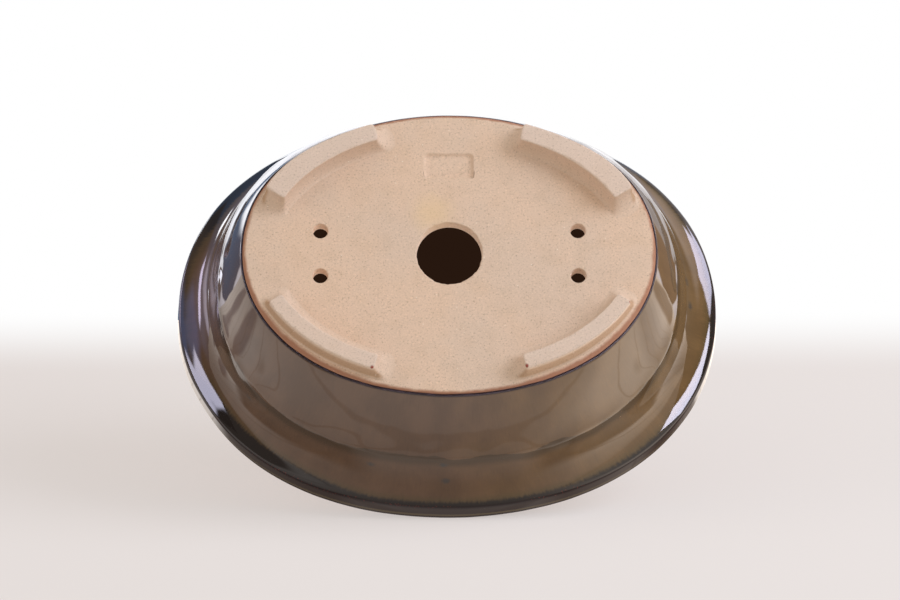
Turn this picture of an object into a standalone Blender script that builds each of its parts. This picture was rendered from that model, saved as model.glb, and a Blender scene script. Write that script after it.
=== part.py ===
"""Oval bonsai pot: a bare clay base slab on four arc feet, with a glazed wall and a flared, banded lip.

Lengths are in metres. +Z is up, +X is the long side, and the soles of the feet stand on z = 0.
The pot is built as a potter builds it: a slab, a wall that stands on it, a lip on the wall, and feet.
"""

import math

import bmesh
import bpy

# Overall size of the pot, measured over the top of the lip's band
POT_LENGTH = 0.2144
POT_WIDTH = 0.1647
POT_HEIGHT = 0.087

# Heights of the parts. The wall takes what they leave of the pot's height.
FOOT_HEIGHT = 0.009
SLAB_THICKNESS = 0.006
COVE_HEIGHT = 0.027  # from the crease that ends the wall to the lower corner of the lip
BAND_HEIGHT = 0.014  # the upright face of the lip

# Plan sizes below the lip
BASE_LENGTH = 0.1592  # at the lower edge of the slab
BASE_WIDTH = 0.1147
WAIST_LENGTH = 0.1802  # at the crease
WAIST_WIDTH = 0.1424
BAND_LEAN = 0.0008  # how far the top of the band stands outside its lower corner

# Fullness of the plan: 2 is an ellipse, and more is squarer
BASE_FULLNESS = 2.0
WAIST_FULLNESS = 2.2
LIP_FULLNESS = 2.1

# Section of the wall and the lip
WALL_BULGE = 0.0013  # how far the wall swells outside a straight taper
WALL_THICKNESS = 0.007
COVE_POWER = 2.6  # 1 is a straight flare, and more keeps the neck upright for longer
LIP_WIDTH = 0.0085
LIP_CORNER_RADIUS = 0.0012
LIP_OUTER_RADIUS = 0.0022
LIP_INNER_RADIUS = 0.0028
BASE_EDGE_RADIUS = 0.0010

# Holes and the blank impression in the slab
DRAIN_DIAMETER = 0.0252
WIRE_HOLE_DIAMETER = 0.0059
WIRE_HOLE_SPAN = 0.0992  # between the pairs, along X
WIRE_HOLE_PITCH = 0.0184  # within a pair, along Y
IMPRESSION_LENGTH = 0.0186
IMPRESSION_WIDTH = 0.0098
IMPRESSION_DEPTH = 0.0008
IMPRESSION_OFFSET = 0.0361
IMPRESSION_CORNER = 0.0009

# Feet, set out on the edge of the slab
FOOT_INSET = 0.003  # from the slab's edge to the outside of the sole
FOOT_LEDGE = 0.0002  # flat clay between the slab's rounded edge and the root of the foot
FOOT_SOLE_WIDTH = 0.0062
FOOT_INNER_FLARE = 0.0035
FOOT_END_RAMP = 0.008
FOOT_START = math.radians(25.7)  # ends of the sole, as angles of the slab's ellipse
FOOT_END = math.radians(67.3)

# Clay joints are drawn as this gap between the pieces
JOINT_GAP = 0.0003

# Fineness of the curves
SEGMENTS = 72
WALL_STEPS = 5
COVE_STEPS = 7
COVE_INNER_STEPS = 3
ROUND_STEPS = 3
FOOT_ARC_STEPS = 12
FOOT_ROUND_STEPS = 4
DRAIN_SEGMENTS = 36
WIRE_HOLE_SEGMENTS = 24
SMOOTH_ANGLE = math.radians(35)  # edges that bend more than this are shaded sharp
CUT_MARGIN = 0.002  # how far a cutter passes the face that it opens

# Levels and plan sizes that follow from the sizes above
SLAB_BOTTOM = FOOT_HEIGHT
SLAB_TOP = SLAB_BOTTOM + SLAB_THICKNESS
CORNER_LEVEL = POT_HEIGHT - BAND_HEIGHT
WAIST_LEVEL = CORNER_LEVEL - COVE_HEIGHT
CORNER_LENGTH = POT_LENGTH - 2 * BAND_LEAN
CORNER_WIDTH = POT_WIDTH - 2 * BAND_LEAN


def clear_scene():
    """Removes every object that is in the scene."""
    for obj in list(bpy.data.objects):
        bpy.data.objects.remove(obj, do_unlink=True)


def make_material(name, colour, roughness):
    """A Principled material of one colour and roughness, not metallic."""
    material = bpy.data.materials.new(name)
    material.use_nodes = True
    shader = material.node_tree.nodes["Principled BSDF"]
    shader.inputs["Base Color"].default_value = (*colour, 1.0)
    shader.inputs["Roughness"].default_value = roughness
    shader.inputs["Metallic"].default_value = 0.0
    return material


def mix(start, end, share):
    return start + (end - start) * share


def spaced(start, end, steps):
    """Evenly spaced values from the start to the end, with both of them."""
    return [mix(start, end, step / steps) for step in range(steps + 1)]


def outside_of_wall(level):
    """Half length, half width and fullness of the wall's outside at a height.

    The plan grows evenly from the slab to the waist, plus a parabola that is zero at both ends.
    """
    share = (level - SLAB_BOTTOM) / (WAIST_LEVEL - SLAB_BOTTOM)
    swell = 4 * WALL_BULGE * share * (1 - share)
    return (
        mix(BASE_LENGTH, WAIST_LENGTH, share) / 2 + swell,
        mix(BASE_WIDTH, WAIST_WIDTH, share) / 2 + swell,
        mix(BASE_FULLNESS, WAIST_FULLNESS, share),
    )


def outside_of_cove(level):
    """The same for the cove: the plan grows with a power of the height, so it flares late."""
    share = (level - WAIST_LEVEL) / COVE_HEIGHT
    flare = share**COVE_POWER
    return (
        mix(WAIST_LENGTH, CORNER_LENGTH, flare) / 2,
        mix(WAIST_WIDTH, CORNER_WIDTH, flare) / 2,
        mix(WAIST_FULLNESS, LIP_FULLNESS, share),
    )


def inset_loop(plan, inset, level):
    """Points at one height of the plan's superellipse, with both half sizes less by the inset.

    The points lie along the same directions at every height, so that loops join without a twist.
    """
    half_length, half_width, fullness = plan[0] - inset, plan[1] - inset, plan[2]
    points = []
    for step in range(SEGMENTS):
        turn = 2 * math.pi * step / SEGMENTS
        along, across = BASE_LENGTH * math.cos(turn), BASE_WIDTH * math.sin(turn)
        size = math.hypot(along, across)
        along, across = along / size, across / size
        power_sum = abs(along / half_length) ** fullness + abs(across / half_width) ** fullness
        reach = power_sum ** (-1 / fullness)
        points.append((reach * along, reach * across, level))
    return points


def add_object(name, bm, material):
    """Turns the bmesh into a smooth-shaded object that keeps its real edges sharp."""
    bmesh.ops.recalc_face_normals(bm, faces=bm.faces)
    mesh = bpy.data.meshes.new(name)
    bm.to_mesh(mesh)
    bm.free()
    mesh.shade_smooth()
    mesh.set_sharp_from_angle(angle=SMOOTH_ANGLE)
    mesh.materials.append(material)
    obj = bpy.data.objects.new(name, mesh)
    bpy.context.scene.collection.objects.link(obj)
    return obj


def loft(name, loops, material, ring):
    """Skins closed loops with a band of faces from each to the next.

    A ring joins its last loop to its first, and any other shape has its two ends capped.
    """
    bm = bmesh.new()
    rows = [[bm.verts.new(point) for point in points] for points in loops]
    pairs = list(zip(rows, rows[1:]))
    if ring:
        pairs.append((rows[-1], rows[0]))
    else:
        bm.faces.new(rows[0])
        bm.faces.new(rows[-1])
    for lower, upper in pairs:
        for i in range(len(lower)):
            bm.faces.new((lower[i - 1], lower[i], upper[i], upper[i - 1]))
    return add_object(name, bm, material)


def round_corner(inset, level, radius, start):
    """(inset, level) pairs of a quarter circle about a centre, from an angle to the next quarter."""
    pairs = []
    for angle in spaced(start, start + math.pi / 2, ROUND_STEPS):
        pairs.append((inset - radius * math.cos(angle), level + radius * math.sin(angle)))
    return pairs


def make_wall(material):
    """A leaning oval ring from the slab up to the waist."""
    levels = spaced(SLAB_TOP + JOINT_GAP, WAIST_LEVEL, WALL_STEPS)
    outside = [inset_loop(outside_of_wall(level), 0, level) for level in levels]
    inside = [inset_loop(outside_of_wall(level), WALL_THICKNESS, level) for level in reversed(levels)]
    return loft("wall", outside + inside, material, ring=True)


def make_lip(material):
    """An oval ring with a cove below, a rounded corner, an upright band and an eased top."""
    foot_of_lip = WAIST_LEVEL + JOINT_GAP
    corner_plan = outside_of_cove(CORNER_LEVEL)
    loops = []
    for level in spaced(foot_of_lip, CORNER_LEVEL - LIP_CORNER_RADIUS, COVE_STEPS):
        loops.append(inset_loop(outside_of_cove(level), 0, level))
    loops.append(inset_loop(corner_plan, 0, CORNER_LEVEL + LIP_CORNER_RADIUS))
    outer = round_corner(LIP_OUTER_RADIUS, POT_HEIGHT - LIP_OUTER_RADIUS, LIP_OUTER_RADIUS, 0)
    inner_centre = LIP_WIDTH - LIP_INNER_RADIUS
    inner = round_corner(inner_centre, POT_HEIGHT - LIP_INNER_RADIUS, LIP_INNER_RADIUS, math.pi / 2)
    for inset, level in outer + inner:
        loops.append(inset_loop(corner_plan, inset - BAND_LEAN, level))
    for level in spaced(CORNER_LEVEL, foot_of_lip, COVE_INNER_STEPS):
        loops.append(inset_loop(outside_of_cove(level), WALL_THICKNESS, level))
    return loft("lip", loops, material, ring=True)


def add_cutter(name, bm):
    """A hidden object that only cuts."""
    bmesh.ops.recalc_face_normals(bm, faces=bm.faces)
    mesh = bpy.data.meshes.new(name)
    bm.to_mesh(mesh)
    bm.free()
    cutter = bpy.data.objects.new(name, mesh)
    bpy.context.scene.collection.objects.link(cutter)
    cutter.hide_render = True
    cutter.display_type = "WIRE"
    return cutter


def hole_cutter(name, diameter, segments, place):
    """A plug through the slab at a place in plan."""
    bm = bmesh.new()
    bmesh.ops.create_cone(
        bm,
        cap_ends=True,
        segments=segments,
        radius1=diameter / 2,
        radius2=diameter / 2,
        depth=SLAB_THICKNESS + 2 * CUT_MARGIN,
    )
    bmesh.ops.translate(bm, verts=bm.verts, vec=(*place, SLAB_BOTTOM + SLAB_THICKNESS / 2))
    return add_cutter(name, bm)


def impression_cutter():
    """A block with rounded corners that presses the blank oblong into the slab's underside."""
    bm = bmesh.new()
    bmesh.ops.create_cube(bm, size=1)
    height = IMPRESSION_DEPTH + CUT_MARGIN
    bmesh.ops.scale(bm, verts=bm.verts, vec=(IMPRESSION_LENGTH, IMPRESSION_WIDTH, height))
    upright = [edge for edge in bm.edges if abs(edge.verts[0].co.z - edge.verts[1].co.z) > height / 2]
    bmesh.ops.bevel(bm, geom=upright, offset=IMPRESSION_CORNER, segments=ROUND_STEPS, affect="EDGES")
    middle = SLAB_BOTTOM + IMPRESSION_DEPTH - height / 2
    bmesh.ops.translate(bm, verts=bm.verts, vec=(0, IMPRESSION_OFFSET, middle))
    return add_cutter("impression_cutter", bm)


def make_floor_slab(material):
    """The oval slab, with an eased lower edge, an edge that follows the wall's taper, and its holes."""
    loops = []
    for angle in spaced(0, math.pi / 2, ROUND_STEPS):
        level = SLAB_BOTTOM + BASE_EDGE_RADIUS * (1 - math.cos(angle))
        inset = BASE_EDGE_RADIUS * (1 - math.sin(angle))
        loops.append(inset_loop(outside_of_wall(level), inset, level))
    loops.append(inset_loop(outside_of_wall(SLAB_TOP), 0, SLAB_TOP))
    slab = loft("floor_slab", loops, material, ring=False)
    cutters = [hole_cutter("drain_cutter", DRAIN_DIAMETER, DRAIN_SEGMENTS, (0, 0)), impression_cutter()]
    for x_name, side_x in (("left", -1), ("right", 1)):
        for y_name, side_y in (("front", -1), ("back", 1)):
            place = (side_x * WIRE_HOLE_SPAN / 2, side_y * WIRE_HOLE_PITCH / 2)
            name = f"wire_cutter_{y_name}_{x_name}"
            cutters.append(hole_cutter(name, WIRE_HOLE_DIAMETER, WIRE_HOLE_SEGMENTS, place))
    for cutter in cutters:
        cut = slab.modifiers.new(cutter.name, "BOOLEAN")
        cut.operation = "DIFFERENCE"
        cut.object = cutter
    return slab


def point_inside_edge(turn, inset):
    """A point on the slab's ellipse at an angle, moved inwards square to the edge."""
    half_length, half_width = BASE_LENGTH / 2, BASE_WIDTH / 2
    normal = (half_width * math.cos(turn), half_length * math.sin(turn))
    size = math.hypot(*normal)
    return (
        half_length * math.cos(turn) - inset * normal[0] / size,
        half_width * math.sin(turn) - inset * normal[1] / size,
    )


def edge_speed(turn):
    """Length of the slab's edge for each radian of the ellipse's angle."""
    return math.hypot(BASE_LENGTH / 2 * math.sin(turn), BASE_WIDTH / 2 * math.cos(turn))


def foot_outline(spread, level, side_x, side_y):
    """The foot's outline at one height. A spread of 0 is the sole and 1 is the root at the slab."""
    outer = mix(FOOT_INSET, BASE_EDGE_RADIUS + FOOT_LEDGE, spread)
    inner = FOOT_INSET + FOOT_SOLE_WIDTH + FOOT_INNER_FLARE * spread
    first = FOOT_START - FOOT_END_RAMP * spread / edge_speed(FOOT_START)
    last = FOOT_END + FOOT_END_RAMP * spread / edge_speed(FOOT_END)
    turns = spaced(first, last, FOOT_ARC_STEPS)
    outline = [point_inside_edge(turn, outer) for turn in turns]
    outline += [point_inside_edge(turn, inner) for turn in reversed(turns)]
    return [(side_x * x, side_y * y, level) for x, y in outline]


def make_foot(name, side_x, side_y, material):
    """An arc foot that spreads in a concave quarter round from its sole to its root."""
    root_level = SLAB_BOTTOM - JOINT_GAP
    loops = []
    for angle in spaced(0, math.pi / 2, FOOT_ROUND_STEPS):
        loops.append(foot_outline(1 - math.cos(angle), root_level * math.sin(angle), side_x, side_y))
    return loft(name, loops, material, ring=False)


def main():
    clear_scene()
    bare_clay = make_material("bare_clay", (0.69, 0.51, 0.38), 0.9)
    worn_clay = make_material("worn_clay", (0.71, 0.57, 0.49), 0.95)
    glaze = make_material("glaze", (0.18, 0.115, 0.055), 0.12)
    make_floor_slab(bare_clay)
    make_wall(glaze)
    make_lip(glaze)
    for x_name, side_x in (("left", -1), ("right", 1)):
        for y_name, side_y in (("front", -1), ("back", 1)):
            make_foot(f"foot_{y_name}_{x_name}", side_x, side_y, worn_clay)


main()
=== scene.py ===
# %% [markdown]
# # An oval bonsai pot, looked at from below
#
# The pot is stoneware: a flat clay slab on four cut feet, a wall that leans out, a hollow cove and a
# banded lip. Glaze covers the outside and laps over the lip, and the underside and inside stay bare.
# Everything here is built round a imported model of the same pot, which gives the sizes and is never moved.

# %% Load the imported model
import math

import bpy
import numpy as np
from mathutils import Matrix, Vector


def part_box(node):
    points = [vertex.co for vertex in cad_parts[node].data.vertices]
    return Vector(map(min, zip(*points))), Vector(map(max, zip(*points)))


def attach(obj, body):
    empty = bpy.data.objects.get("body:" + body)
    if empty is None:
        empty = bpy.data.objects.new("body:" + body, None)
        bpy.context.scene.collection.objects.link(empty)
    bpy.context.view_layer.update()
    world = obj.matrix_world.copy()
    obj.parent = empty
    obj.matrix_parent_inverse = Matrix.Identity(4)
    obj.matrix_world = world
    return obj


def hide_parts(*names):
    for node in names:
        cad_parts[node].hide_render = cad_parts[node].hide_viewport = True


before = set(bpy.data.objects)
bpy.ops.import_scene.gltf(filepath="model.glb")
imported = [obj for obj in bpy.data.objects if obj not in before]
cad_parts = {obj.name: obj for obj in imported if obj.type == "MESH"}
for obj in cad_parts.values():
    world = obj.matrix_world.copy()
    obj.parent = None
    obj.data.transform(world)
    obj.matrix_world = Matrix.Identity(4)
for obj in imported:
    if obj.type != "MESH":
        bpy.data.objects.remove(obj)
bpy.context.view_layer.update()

MM = 0.001  # every length below is written in millimetres and turned into metres with this
for node_name in sorted(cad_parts):
    low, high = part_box(node_name)
    print(node_name, [round(v / MM, 1) for v in (*low, *high)])

# %% [markdown]
# ## The camera
#
# The photograph looks at the underside of the pot, which leans back on its lip. The pot stays upright
# here, so the camera goes below it instead. Three turns say how: the tilt is the angle between the line
# of sight and the pot's upright axis, the spin turns the pot about that axis, and the roll turns the
# picture. A long lens matches the weak perspective. The offset moves the pot's base in the picture,
# where a camera shift would stay behind in every other view.

# %% Place the camera
CAMERA_TILT = math.radians(20.34)
CAMERA_SPIN = math.radians(2.15)
CAMERA_ROLL = math.radians(-1.955)
CAMERA_LENS = 220.0  # on a sensor 36 mm wide
CAMERA_DISTANCE = 2115.4 * MM
BASE_IN_VIEW = (-0.9 * MM, 18.02 * MM)  # the base's centre, right of and above the line of sight


def turned_camera():
    """The camera's right, up and backward directions before the roll, and its place.

    Right and up are the pot's own left and back, turned by the spin and leaned over by the tilt.
    """
    spin_cos, spin_sin = math.cos(CAMERA_SPIN), math.sin(CAMERA_SPIN)
    tilt_cos, tilt_sin = math.cos(CAMERA_TILT), math.sin(CAMERA_TILT)
    right = Vector((-spin_cos, -spin_sin, 0))
    up = Vector((-spin_sin * tilt_cos, spin_cos * tilt_cos, -tilt_sin))
    back = Vector((spin_sin * tilt_sin, -spin_cos * tilt_sin, -tilt_cos))
    base = Vector((0, 0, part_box("floor_slab")[0].z))
    place = base - BASE_IN_VIEW[0] * right - BASE_IN_VIEW[1] * up + CAMERA_DISTANCE * back
    return right, up, back, place


def add_camera():
    """A camera whose matrix is its three directions and its place, rolled in its own picture."""
    right, up, back, place = turned_camera()
    roll_cos, roll_sin = math.cos(CAMERA_ROLL), math.sin(CAMERA_ROLL)
    rolled_right = right * roll_cos - up * roll_sin
    rolled_up = right * roll_sin + up * roll_cos
    camera = bpy.data.objects.new("camera", bpy.data.cameras.new("camera"))
    camera.data.lens = CAMERA_LENS
    camera.data.sensor_width = 36.0
    columns = Matrix((rolled_right, rolled_up, back)).transposed().to_4x4()
    camera.matrix_world = Matrix.Translation(place) @ columns
    bpy.context.scene.collection.objects.link(camera)
    bpy.context.scene.camera = camera
    return camera


camera = add_camera()
print("camera at", [round(v, 3) for v in camera.location], "m")

# %% [markdown]
# ## Small tools for shapes
#
# Each piece is worked out as whole arrays of points with numpy. Four helpers are used all over: a mix of
# two values, a smooth step that fades from 0 to 1, a wobble that runs round the pot and a drift that runs
# through space. The last two give the small unevenness that hands leave.

# %% Shape tools
ROUND = 2 * math.pi
WOBBLE_PEAK, DRIFT_PEAK = 1.6, 1.5  # about the furthest that a wobble and a drift reach


def mix(start, end, share):
    """The value that lies a share of the way from the start to the end."""
    return start + (end - start) * share


def fade(value, start, end):
    """0 below the start, 1 above the end, and the curve 3t² - 2t³ between them."""
    t = np.clip((value - start) / (end - start), 0.0, 1.0)
    return t * t * (3 - 2 * t)


def wobble(turn, counts, seed):
    """A sum of sine waves round the pot, each with its own count and start, mostly from -1 to 1."""
    starts = np.random.default_rng(seed).uniform(0, ROUND, len(counts))
    waves = [np.sin(count * turn + start) for count, start in zip(counts, starts)]
    return sum(waves) / math.sqrt(len(counts))


def drift(points, wave_length, seed, waves=9):
    """A smooth unevenness in space: a sum of sine waves in random directions, mostly from -1 to 1."""
    draw = np.random.default_rng(seed)
    total = np.zeros(points.shape[:-1])
    for _ in range(waves):
        direction = draw.normal(size=3)
        direction *= draw.uniform(0.7, 1.4) / np.linalg.norm(direction)
        total += np.sin(points @ direction * (ROUND / wave_length) + draw.uniform(0, ROUND))
    return total / math.sqrt(waves)


# %% [markdown]
# ## From arrays to meshes
#
# A ring is a grid of points whose rows run round the pot and whose last row joins the first, so it is
# closed with no edge at all. `foreach_set` copies whole arrays into Blender, which is far quicker than
# adding points one by one. Faces have to look outwards, so a helper measures which way they look and turns
# them over. Values that the materials need are stored on the points as attributes.

# %% Mesh tools
IN_PLAN = np.array([1, 1, 0])  # times a point, this leaves its x and y


def quad_grid(row_ids):
    """Faces between each row of point numbers and the next, with every row closed round."""
    after = np.roll(row_ids, -1, axis=1)
    return np.stack([row_ids[:-1], after[:-1], after[1:], row_ids[1:]], axis=-1).reshape(-1, 4)


def numbers_of(grid):
    """The numbers of a grid's points, in a grid of the same rows."""
    return np.arange(grid[..., 0].size).reshape(grid.shape[:2])


def outward(points, quads):
    """Turns every face over if the closed shape's volume comes out negative."""
    first, second, third, fourth = (points[quads[:, corner]] for corner in range(4))
    volume = np.einsum("ij,ij->", first, np.cross(second, third) + np.cross(third, fourth))
    return quads if volume > 0 else quads[:, ::-1]


def turned_to(points, quads, wanted):
    """Turns all faces over if, taken together, they look away from the wanted directions."""
    first, second, third, fourth = (points[quads[:, corner]] for corner in range(4))
    normal = np.cross(third - first, fourth - second)
    return quads if np.einsum("ij,ij->", normal, wanted) > 0 else quads[:, ::-1]


def closed_shell(grid):
    """Points and outward faces of a grid whose last row joins its first."""
    ids, points = numbers_of(grid), grid.reshape(-1, 3)
    return points, outward(points, quad_grid(np.concatenate([ids, ids[:1]])))


def used_only(points, quads):
    """Drops the points that no face uses, and numbers the others anew."""
    kept, numbers = np.unique(quads, return_inverse=True)
    return points[kept], numbers.reshape(quads.shape)


def grid_normals(grid):
    """Unit normals of a grid that closes round: the cross product of its two directions."""
    along = np.gradient(grid, axis=0)
    round_pot = np.roll(grid, -1, axis=1) - np.roll(grid, 1, axis=1)
    normal = np.cross(round_pot, along)
    return normal / np.maximum(np.linalg.norm(normal, axis=-1, keepdims=True), 1e-12)


def add_piece(name, points, quads, values=None):
    """Makes a smooth-shaded mesh object from arrays of points and four-sided faces, with point attributes."""
    mesh = bpy.data.meshes.new(name)
    mesh.vertices.add(len(points))
    mesh.vertices.foreach_set("co", points.astype(np.float32).ravel())
    mesh.loops.add(quads.size)
    mesh.loops.foreach_set("vertex_index", quads.astype(np.int32).ravel())
    mesh.polygons.add(len(quads))
    mesh.polygons.foreach_set("loop_start", np.arange(0, quads.size, 4, dtype=np.int32))
    mesh.update(calc_edges=True)
    mesh.validate()
    mesh.shade_smooth()
    for key, array in (values or {}).items():
        kind, field = ("FLOAT", "value") if array.ndim == 1 else ("FLOAT_VECTOR", "vector")
        mesh.attributes.new(key, kind, "POINT").data.foreach_set(field, array.astype(np.float32).ravel())
    piece = bpy.data.objects.new(name, mesh)
    bpy.context.scene.collection.objects.link(piece)
    size = (points.max(axis=0) - points.min(axis=0)) / MM
    print(name, len(points), "points,", [round(float(v), 1) for v in size], "mm")
    return piece


# %% [markdown]
# ## The outline at every height
#
# Seen from above the pot is a superellipse: an ellipse whose power, 2, may be a little larger, which
# makes it squarer. The wall leans out with a slight swell and leans more just below the crease that ends
# it. The cove above grows with a power of the height, so it stays upright for a while and then flares.
# The real pot isn't quite regular: its crease is fuller behind the long axis, and so is its base near the
# two back corners.

# %% The pot's outline
SLAB_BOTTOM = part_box("floor_slab")[0].z
SLAB_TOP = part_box("floor_slab")[1].z
WAIST_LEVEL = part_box("wall")[1].z
TOP_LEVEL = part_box("lip")[1].z
WAIST_HALF = np.array(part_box("wall")[1][:2])
BAND_HEIGHT = 12.6 * MM
BAND_LEAN = 0.8 * MM
CORNER_LEVEL = TOP_LEVEL - BAND_HEIGHT
CORNER_HALF = np.array(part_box("lip")[1][:2]) - BAND_LEAN
BASE_HALF = np.array([79.6, 57.35]) * MM
BASE_FULLNESS, WAIST_FULLNESS, CORNER_FULLNESS, LIP_FULLNESS = 2.0, 2.2, 2.16, 2.1
BACK_FULLER = 0.17  # how much fuller the crease is behind the long axis
BASE_SWELL = 1.8 * MM  # how much further the base reaches near the back corners
SWELL_MIDDLE, SWELL_SPREAD = 0.42, 0.26  # where, as the direction's part along +Y, and how broadly
WALL_BULGE = 0.45 * MM
WALL_FLARE, FLARE_POWER = 0.11, 8  # how much more the wall leans just below the crease, and how late
COVE_LEAN, COVE_POWER = 0.35, 5.0  # the share of the cove's growth that is even, and the power of the rest


def half_sizes(level):
    """Half length, half width, fullness and nearness to the crease of the outside at each level.

    With t from 0 to 1 over each part, the wall grows by (1 - f)·t + f·t⁸ and bulges by 4·b·t·(1 - t),
    the cove grows by c·t + (1 - c)·t⁵, and the band leans out evenly.
    """
    wall_share = (level - SLAB_BOTTOM) / (WAIST_LEVEL - SLAB_BOTTOM)
    swell = 4 * WALL_BULGE * wall_share * (1 - wall_share)
    lean = wall_share + WALL_FLARE * (np.clip(wall_share, 0, 1) ** FLARE_POWER - wall_share)
    cove_share = np.clip((level - WAIST_LEVEL) / (CORNER_LEVEL - WAIST_LEVEL), 0, 1)
    flare = COVE_LEAN * cove_share + (1 - COVE_LEAN) * cove_share**COVE_POWER
    band_share = np.clip((level - CORNER_LEVEL) / BAND_HEIGHT, 0, 1)
    in_wall = level <= WAIST_LEVEL
    halves = []
    for axis in (0, 1):
        wall = mix(BASE_HALF[axis], WAIST_HALF[axis], lean) + swell
        cove = mix(WAIST_HALF[axis], CORNER_HALF[axis], flare) + BAND_LEAN * band_share
        halves.append(np.where(in_wall, wall, cove))
    fullness = np.where(
        in_wall,
        mix(BASE_FULLNESS, WAIST_FULLNESS, wall_share),
        mix(WAIST_FULLNESS, mix(CORNER_FULLNESS, LIP_FULLNESS, band_share), cove_share),
    )
    near_waist = np.where(in_wall, np.clip(wall_share, 0, 1), 1 - cove_share)
    return halves[0], halves[1], fullness, near_waist


def base_swell(across):
    """How much further the base reaches along a direction whose part along +Y is given: a bell curve."""
    return BASE_SWELL * np.exp(-(((across - SWELL_MIDDLE) / SWELL_SPREAD) ** 2))


def oval_rows(level, inset, turn):
    """A grid of points: one closed oval for each level, its half sizes less by the inset.

    Along a direction (c, s) the superellipse lies at the distance 1 / (|c/a|ⁿ + |s/b|ⁿ)^(1/n).
    Level and inset may change along a row as well as from row to row.
    """
    level, inset = np.broadcast_arrays(level, inset)
    half_length, half_width, fullness, near_waist = half_sizes(level)
    along, across = BASE_HALF[0] * np.cos(turn), BASE_HALF[1] * np.sin(turn)
    size = np.hypot(along, across)
    along, across = along / size, across / size
    fullness = fullness + BACK_FULLER * near_waist * np.clip(across, 0, 1)
    power_sum = np.abs(along / (half_length - inset)) ** fullness
    power_sum += np.abs(across / (half_width - inset)) ** fullness
    reach = power_sum ** (-1 / fullness)
    reach += base_swell(across) * (1 - near_waist) * (level < WAIST_LEVEL)
    return np.stack([reach * along, reach * across, level + 0 * turn], axis=-1)


print("half sizes at the crease", [round(float(v) / MM, 1) for v in half_sizes(WAIST_LEVEL)[:2]], "mm")

# %% [markdown]
# ## The clay base
#
# The slab was rolled, cut to an oval and punched: one drain hole, four small wire holes, and a shallow
# oblong pressed in near the back. As one grid it is a profile carried round the drain hole: along the
# underside to the rounded edge, up the side, back over the inner floor and down the hole's wall.
# A punched hole is a square block of that grid, taken out and filled with rings that turn the square
# into a circle, go through the slab and open into the matching square on top.

# %% The underside's level
DRAIN_RADIUS = 12.6 * MM
WIRE_RADIUS = 2.95 * MM
WIRE_PLACES = [(x * MM, y * MM) for x in (-49.6, 49.6) for y in (-9.2, 9.2)]
PRESS_HALF, PRESS_CORNER = np.array([9.3, 4.9]) * MM, 1.3 * MM
PRESS_MIDDLE = np.array([0.0, 36.1]) * MM
PRESS_DEPTH = 1.1 * MM
GLAZE_THICKNESS = 0.5 * MM
SLAB_EASE, DRAIN_EASE, WIRE_EASE = 1.9 * MM, 0.7 * MM, 0.45 * MM  # how far each rounding reaches
UNDERSIDE_LIFT = 0.07 * MM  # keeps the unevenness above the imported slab's lower face
DIPS = ((0.025 * MM, 38 * MM, 4), (0.01 * MM, 11 * MM, 5))  # depth, length of the waves and seed


def underside_level(x, y):
    """The slab's lower face: nearly flat, with shallow dips a few hundredths of a millimetre deep."""
    plan = np.stack([x, y, 0 * x], axis=-1)
    dips = sum(depth * drift(plan, length, seed) for depth, length, seed in DIPS)
    return SLAB_BOTTOM + UNDERSIDE_LIFT + dips


# %% The slab's closed profile
SLAB_COLUMNS, SLAB_ROWS = 288, 64
EDGE_STEPS, DRAIN_STEPS = 6, 4
SIDE_LEVELS = (12.0 * MM, 13.3 * MM, 14.6 * MM)
NICK_DEPTH = 0.16 * MM  # how far the drain hole's lower rim wanders
slab_turn = np.arange(SLAB_COLUMNS) * ROUND / SLAB_COLUMNS


def ring_row(radius, level, turn):
    """A circle about the drain hole's axis."""
    return np.stack([radius * np.cos(turn), radius * np.sin(turn), level + 0 * turn], axis=-1)


def face_rows(level, inset):
    """Rows from the drain hole's rim to the outline: each mixes the circle and the oval by an even share."""
    share = np.linspace(0, 1, SLAB_ROWS + 1)[:, None, None]
    rim = ring_row(DRAIN_RADIUS + DRAIN_EASE, level, slab_turn)
    return mix(rim, oval_rows(level, inset, slab_turn), share)


def slab_grid():
    """The slab's rows in order, and the number of the first row of its upper face.

    Each rounding is a quarter circle: one way goes with the sine of an angle, the other with its cosine.
    """
    nick = NICK_DEPTH * np.clip(wobble(slab_turn, (5, 9, 17, 31), seed=8), -0.3, 1)
    under = face_rows(SLAB_BOTTOM, SLAB_EASE)
    under[..., 2] = underside_level(under[..., 0], under[..., 1])
    edge = []
    for angle in np.linspace(0, math.pi / 2, EDGE_STEPS + 1)[1:]:
        level = SLAB_BOTTOM + SLAB_EASE * (1 - math.cos(angle))
        edge.append(oval_rows(level, mix(SLAB_EASE, GLAZE_THICKNESS, math.sin(angle)), slab_turn))
    edge += [oval_rows(level, GLAZE_THICKNESS, slab_turn) for level in SIDE_LEVELS]
    upper = face_rows(SLAB_TOP, GLAZE_THICKNESS)[::-1]
    hole = []
    arc = np.linspace(0, math.pi / 2, DRAIN_STEPS + 1)[1:]
    for angle in arc:
        radius = DRAIN_RADIUS + DRAIN_EASE * (1 - math.sin(angle))
        hole.append(ring_row(radius, SLAB_TOP - DRAIN_EASE * (1 - math.cos(angle)), slab_turn))
    for share in (0.25, 0.5, 0.75):
        level = mix(SLAB_TOP - DRAIN_EASE, SLAB_BOTTOM + DRAIN_EASE, share)
        hole.append(ring_row(DRAIN_RADIUS, level, slab_turn))
    for angle in arc[::-1]:
        radius = DRAIN_RADIUS + DRAIN_EASE * (1 - math.sin(angle)) + nick
        hole.append(ring_row(radius, SLAB_BOTTOM + DRAIN_EASE * (1 - math.cos(angle)), slab_turn))
    return np.concatenate([under, edge, upper, hole]), len(under) + len(edge)


# %% [markdown]
# The next helpers find a square ring of grid points round a middle, and turn a square into a rounded
# rectangle. The second works on any point of the square: in each corner it keeps the point's larger
# coordinate as its distance from the corner's centre, so square rings become round ones.

# %% Blocks in a grid


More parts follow.
